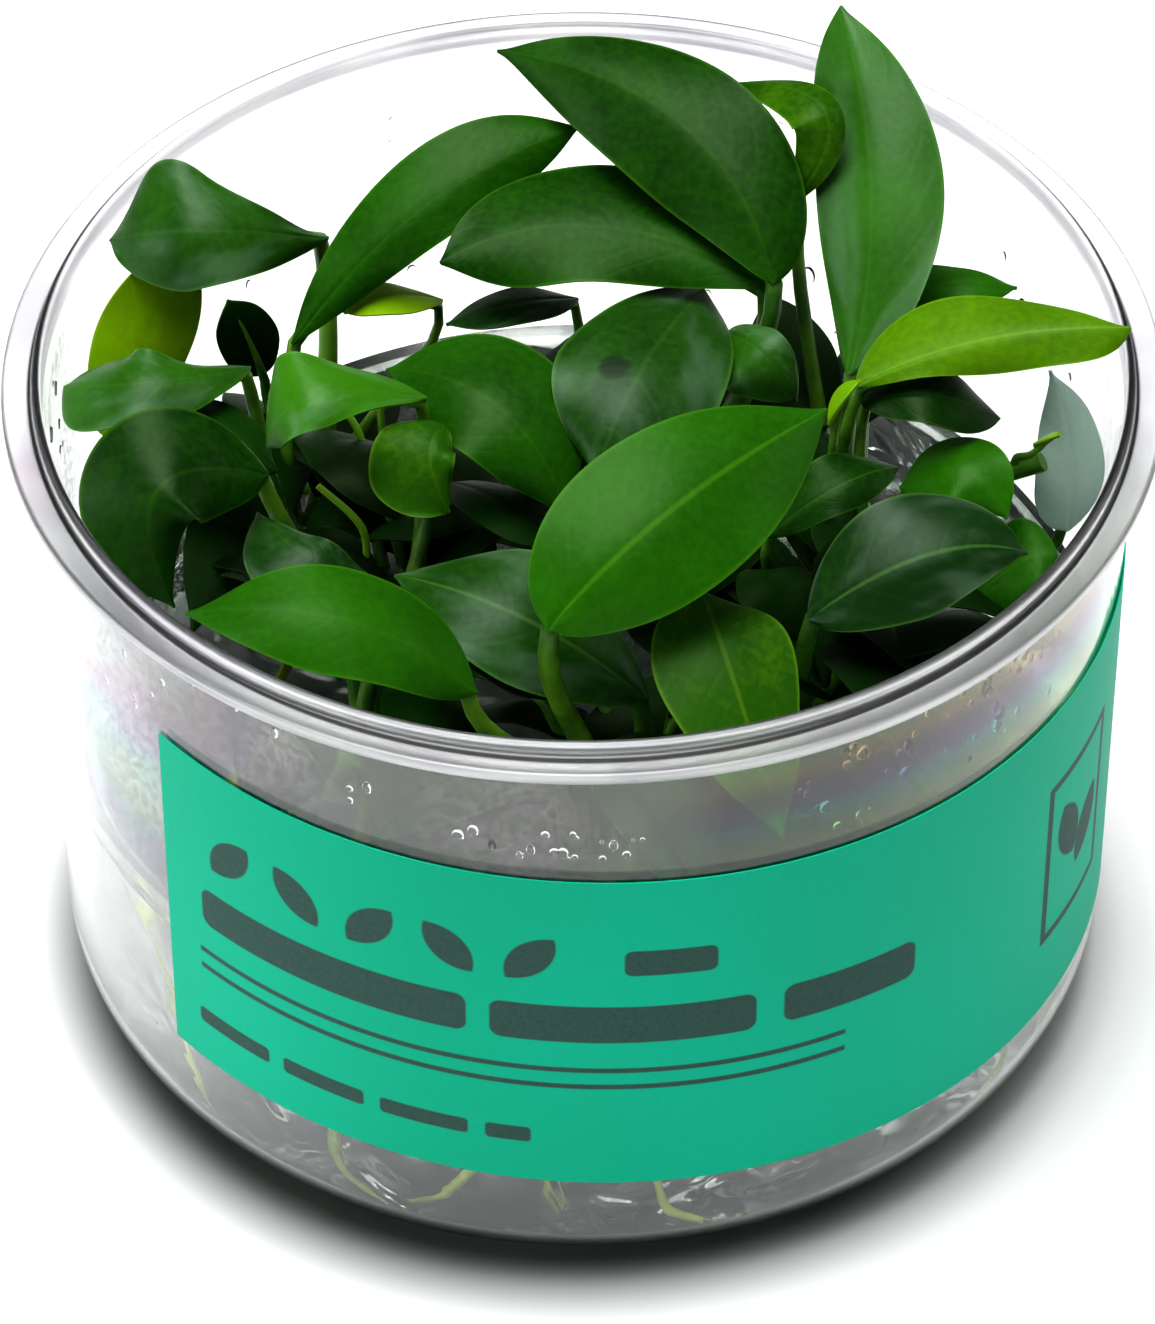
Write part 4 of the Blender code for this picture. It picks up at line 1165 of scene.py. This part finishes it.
def make_rhizomes(finish):
    """Creeping stems with the rings that fallen scales leave."""
    for name, (centre, heading, numbers) in PLANTLETS.items():
        half = (len(numbers) - 1) / 2 * FOOT_PITCH + 1.5
        deselect_all()
        bpy.ops.mesh.primitive_uv_sphere_add(segments=40, ring_count=48, radius=1)
        stem = bpy.context.object
        turn = Matrix.Rotation(math.radians(heading), 3, "Z")
        for vertex in stem.data.vertices:
            along = vertex.co.z
            ring = 1 + 0.06 * math.sin(along * half * 3.2) + 0.04 * math.sin(along * half * 1.1 + 2)
            girth = (1 - abs(along) ** 3) ** 0.3 / max((1 - along ** 2) ** 0.5, 0.05)
            girth *= RHIZOME_RADIUS * ring
            shaped = Vector((along * half, vertex.co.x * girth, vertex.co.y * girth))
            vertex.co = (turn @ shaped + Vector((*centre, RHIZOME_Z))) * MM
        stem.name = name + "_fine"
        face_outwards(stem)
        complete(stem, finish, 60, "stem", name)


def rod_through(points, radii, depth):
    """A rod through the points, with handles along the line between the neighbours of each."""
    points = [Vector(point) for point in points]
    places = []
    for index, here in enumerate(points):
        before = points[max(index - 1, 0)]
        after = points[min(index + 1, len(points) - 1)]
        lean = (after - before) / 6
        places.append((here - lean, here, here + lean))
    return rod(places, radii, depth)


def make_cut_stem(finish):
    stem = rod_through(CUT_STEM, (1.1, 1.0, 1.0, 0.95), CUT_STEM_RADIUS)
    stem.name = "cut_stem_fine"
    complete(stem, finish, 50, "stem", "cut_stem")


def make_young_stems(finish):
    """Bare bright stems that show between the leaves at the left."""
    made = [rod_through(points, (1.0, 1.0, 0.8), YOUNG_STEM_RADIUS) for points in YOUNG_STEMS]
    complete(join(made, "young_stems"), finish, 50, "stem")


def make_roots(finish):
    for name, ((x, y), *rest) in ROOTS.items():
        root = rod_through([(x, y, ROOT_TOP), *rest], (1.1, 1.0, 0.9, 0.5), ROOT_RADIUS)
        root.name = name + "_fine"
        complete(root, finish, 60, "root", name)


# Floor, lights and camera

def make_floor(finish):
    deselect_all()
    bpy.ops.mesh.primitive_plane_add(size=6.0, location=(0, 0, 0))
    floor = bpy.context.object
    floor.name = "floor"
    floor.data.materials.append(finish)


def turn_from_to(thing, place, aim):
    """Puts a lamp or the camera at its place and turns it towards its aim, both in mm."""
    thing.location = place * MM
    thing.rotation_mode = "QUATERNION"
    thing.rotation_quaternion = (aim - place).to_track_quat("-Z", "Y")
    bpy.context.scene.collection.objects.link(thing)


def add_light(name, place, aim, size, power, colour):
    data = bpy.data.lights.new(name, "AREA")
    data.shape = "RECTANGLE"
    data.size, data.size_y = size[0] * MM, size[1] * MM
    data.energy = power
    data.color = colour
    turn_from_to(bpy.data.objects.new(name, data), place, aim)


def make_lights():
    world = bpy.data.worlds.new("white studio")
    world.use_nodes = True
    background = world.node_tree.nodes["Background"].inputs
    background["Color"].default_value = (1, 1, 1, 1)
    nodes = Nodes(world.node_tree)
    path = nodes.node("ShaderNodeLightPath").outputs
    unlit = nodes.maths("SUBTRACT", 1.0, nodes.maths("MINIMUM", path["Diffuse Depth"], 1.0))
    through = nodes.product(path["Is Transmission Ray"], unlit)
    strength = nodes.maths("MULTIPLY_ADD", through, SEEN_THROUGH_GLASS, WORLD_STRENGTH)
    nodes.link(strength, background["Strength"])
    bpy.context.scene.world = world
    for name, (place, aim, size, power, colour) in LAMPS.items():
        add_light(name, Vector(place), UP * aim, size, power, colour)
    scene = bpy.context.scene
    scene.view_settings.view_transform = "Standard"
    scene.view_settings.look = "Medium High Contrast"
    scene.cycles.max_bounces = 7  # with fewer, the drops on the wall lose their highlights
    scene.cycles.transmission_bounces = 7
    scene.cycles.diffuse_bounces = 2
    scene.cycles.glossy_bounces = 2


def make_camera():
    data = bpy.data.cameras.new("camera")
    data.sensor_width = SENSOR
    data.lens = CAMERA_LENS
    data.clip_start, data.clip_end = 0.05, 10.0
    camera = bpy.data.objects.new("camera", data)
    turn_from_to(camera, Vector(CAMERA_PLACE), Vector(CAMERA_AIM))
    bpy.context.scene.camera = camera


make_camera()
make_lights()
make_floor(floor_finish())

FINISHES = {
    "deep": leaf_finish("deep green leaf", (6, 40, 0), (42, 108, 0), (90, 146, 30), 0.4, 0.2),
    # silky leaves carry bands of painted sheen
    "silky": leaf_finish(
        "silky green leaf", (8, 44, 1), (50, 108, 6), (104, 156, 70), 0.38, 0.24, PALE_GLOSS, SHEEN_BAND_SHARE,
    ),
    # painted shade: a darker copy of the leaf finish, for leaves under others
    "shaded": leaf_finish("shaded leaf", (2, 18, 0), (14, 52, 2), (30, 70, 10), 0.5, 0.12),
    "young": leaf_finish("young leaf", (30, 74, 0), (104, 150, 0), (140, 178, 40), 0.44, 0.2),
    # painted light: a brighter copy of the young leaf finish, for leaves lit from behind
    "bright": leaf_finish("backlit young leaf", (96, 138, 0), (140, 176, 6), (160, 190, 60), 0.5, 0.15),
    "pale": leaf_finish(
        "pale leaf", (124, 154, 136), (160, 186, 172), (170, 190, 176), 0.5, 0.2, PALE_GLOSS,
    ),
    "stem": stem_finish("green stem", rgb(38, 82, 8), rgb(92, 138, 30)),
    "young stem": stem_finish("young stem", rgb(70, 120, 6), rgb(112, 156, 24)),
}
make_cup(clear_plastic_finish())
make_gel(gel_finish())
make_label(label_finish())
make_mist(mist_finish())
make_droplets(water_finish("water", 1.33))
make_bubbles(water_finish("air in gel", 1 / 1.34))
make_leaves(FINISHES)
make_lower_leaves(FINISHES)
make_rhizomes(FINISHES["stem"])
make_cut_stem(FINISHES["stem"])
make_young_stems(FINISHES["young stem"])
make_roots(root_finish())
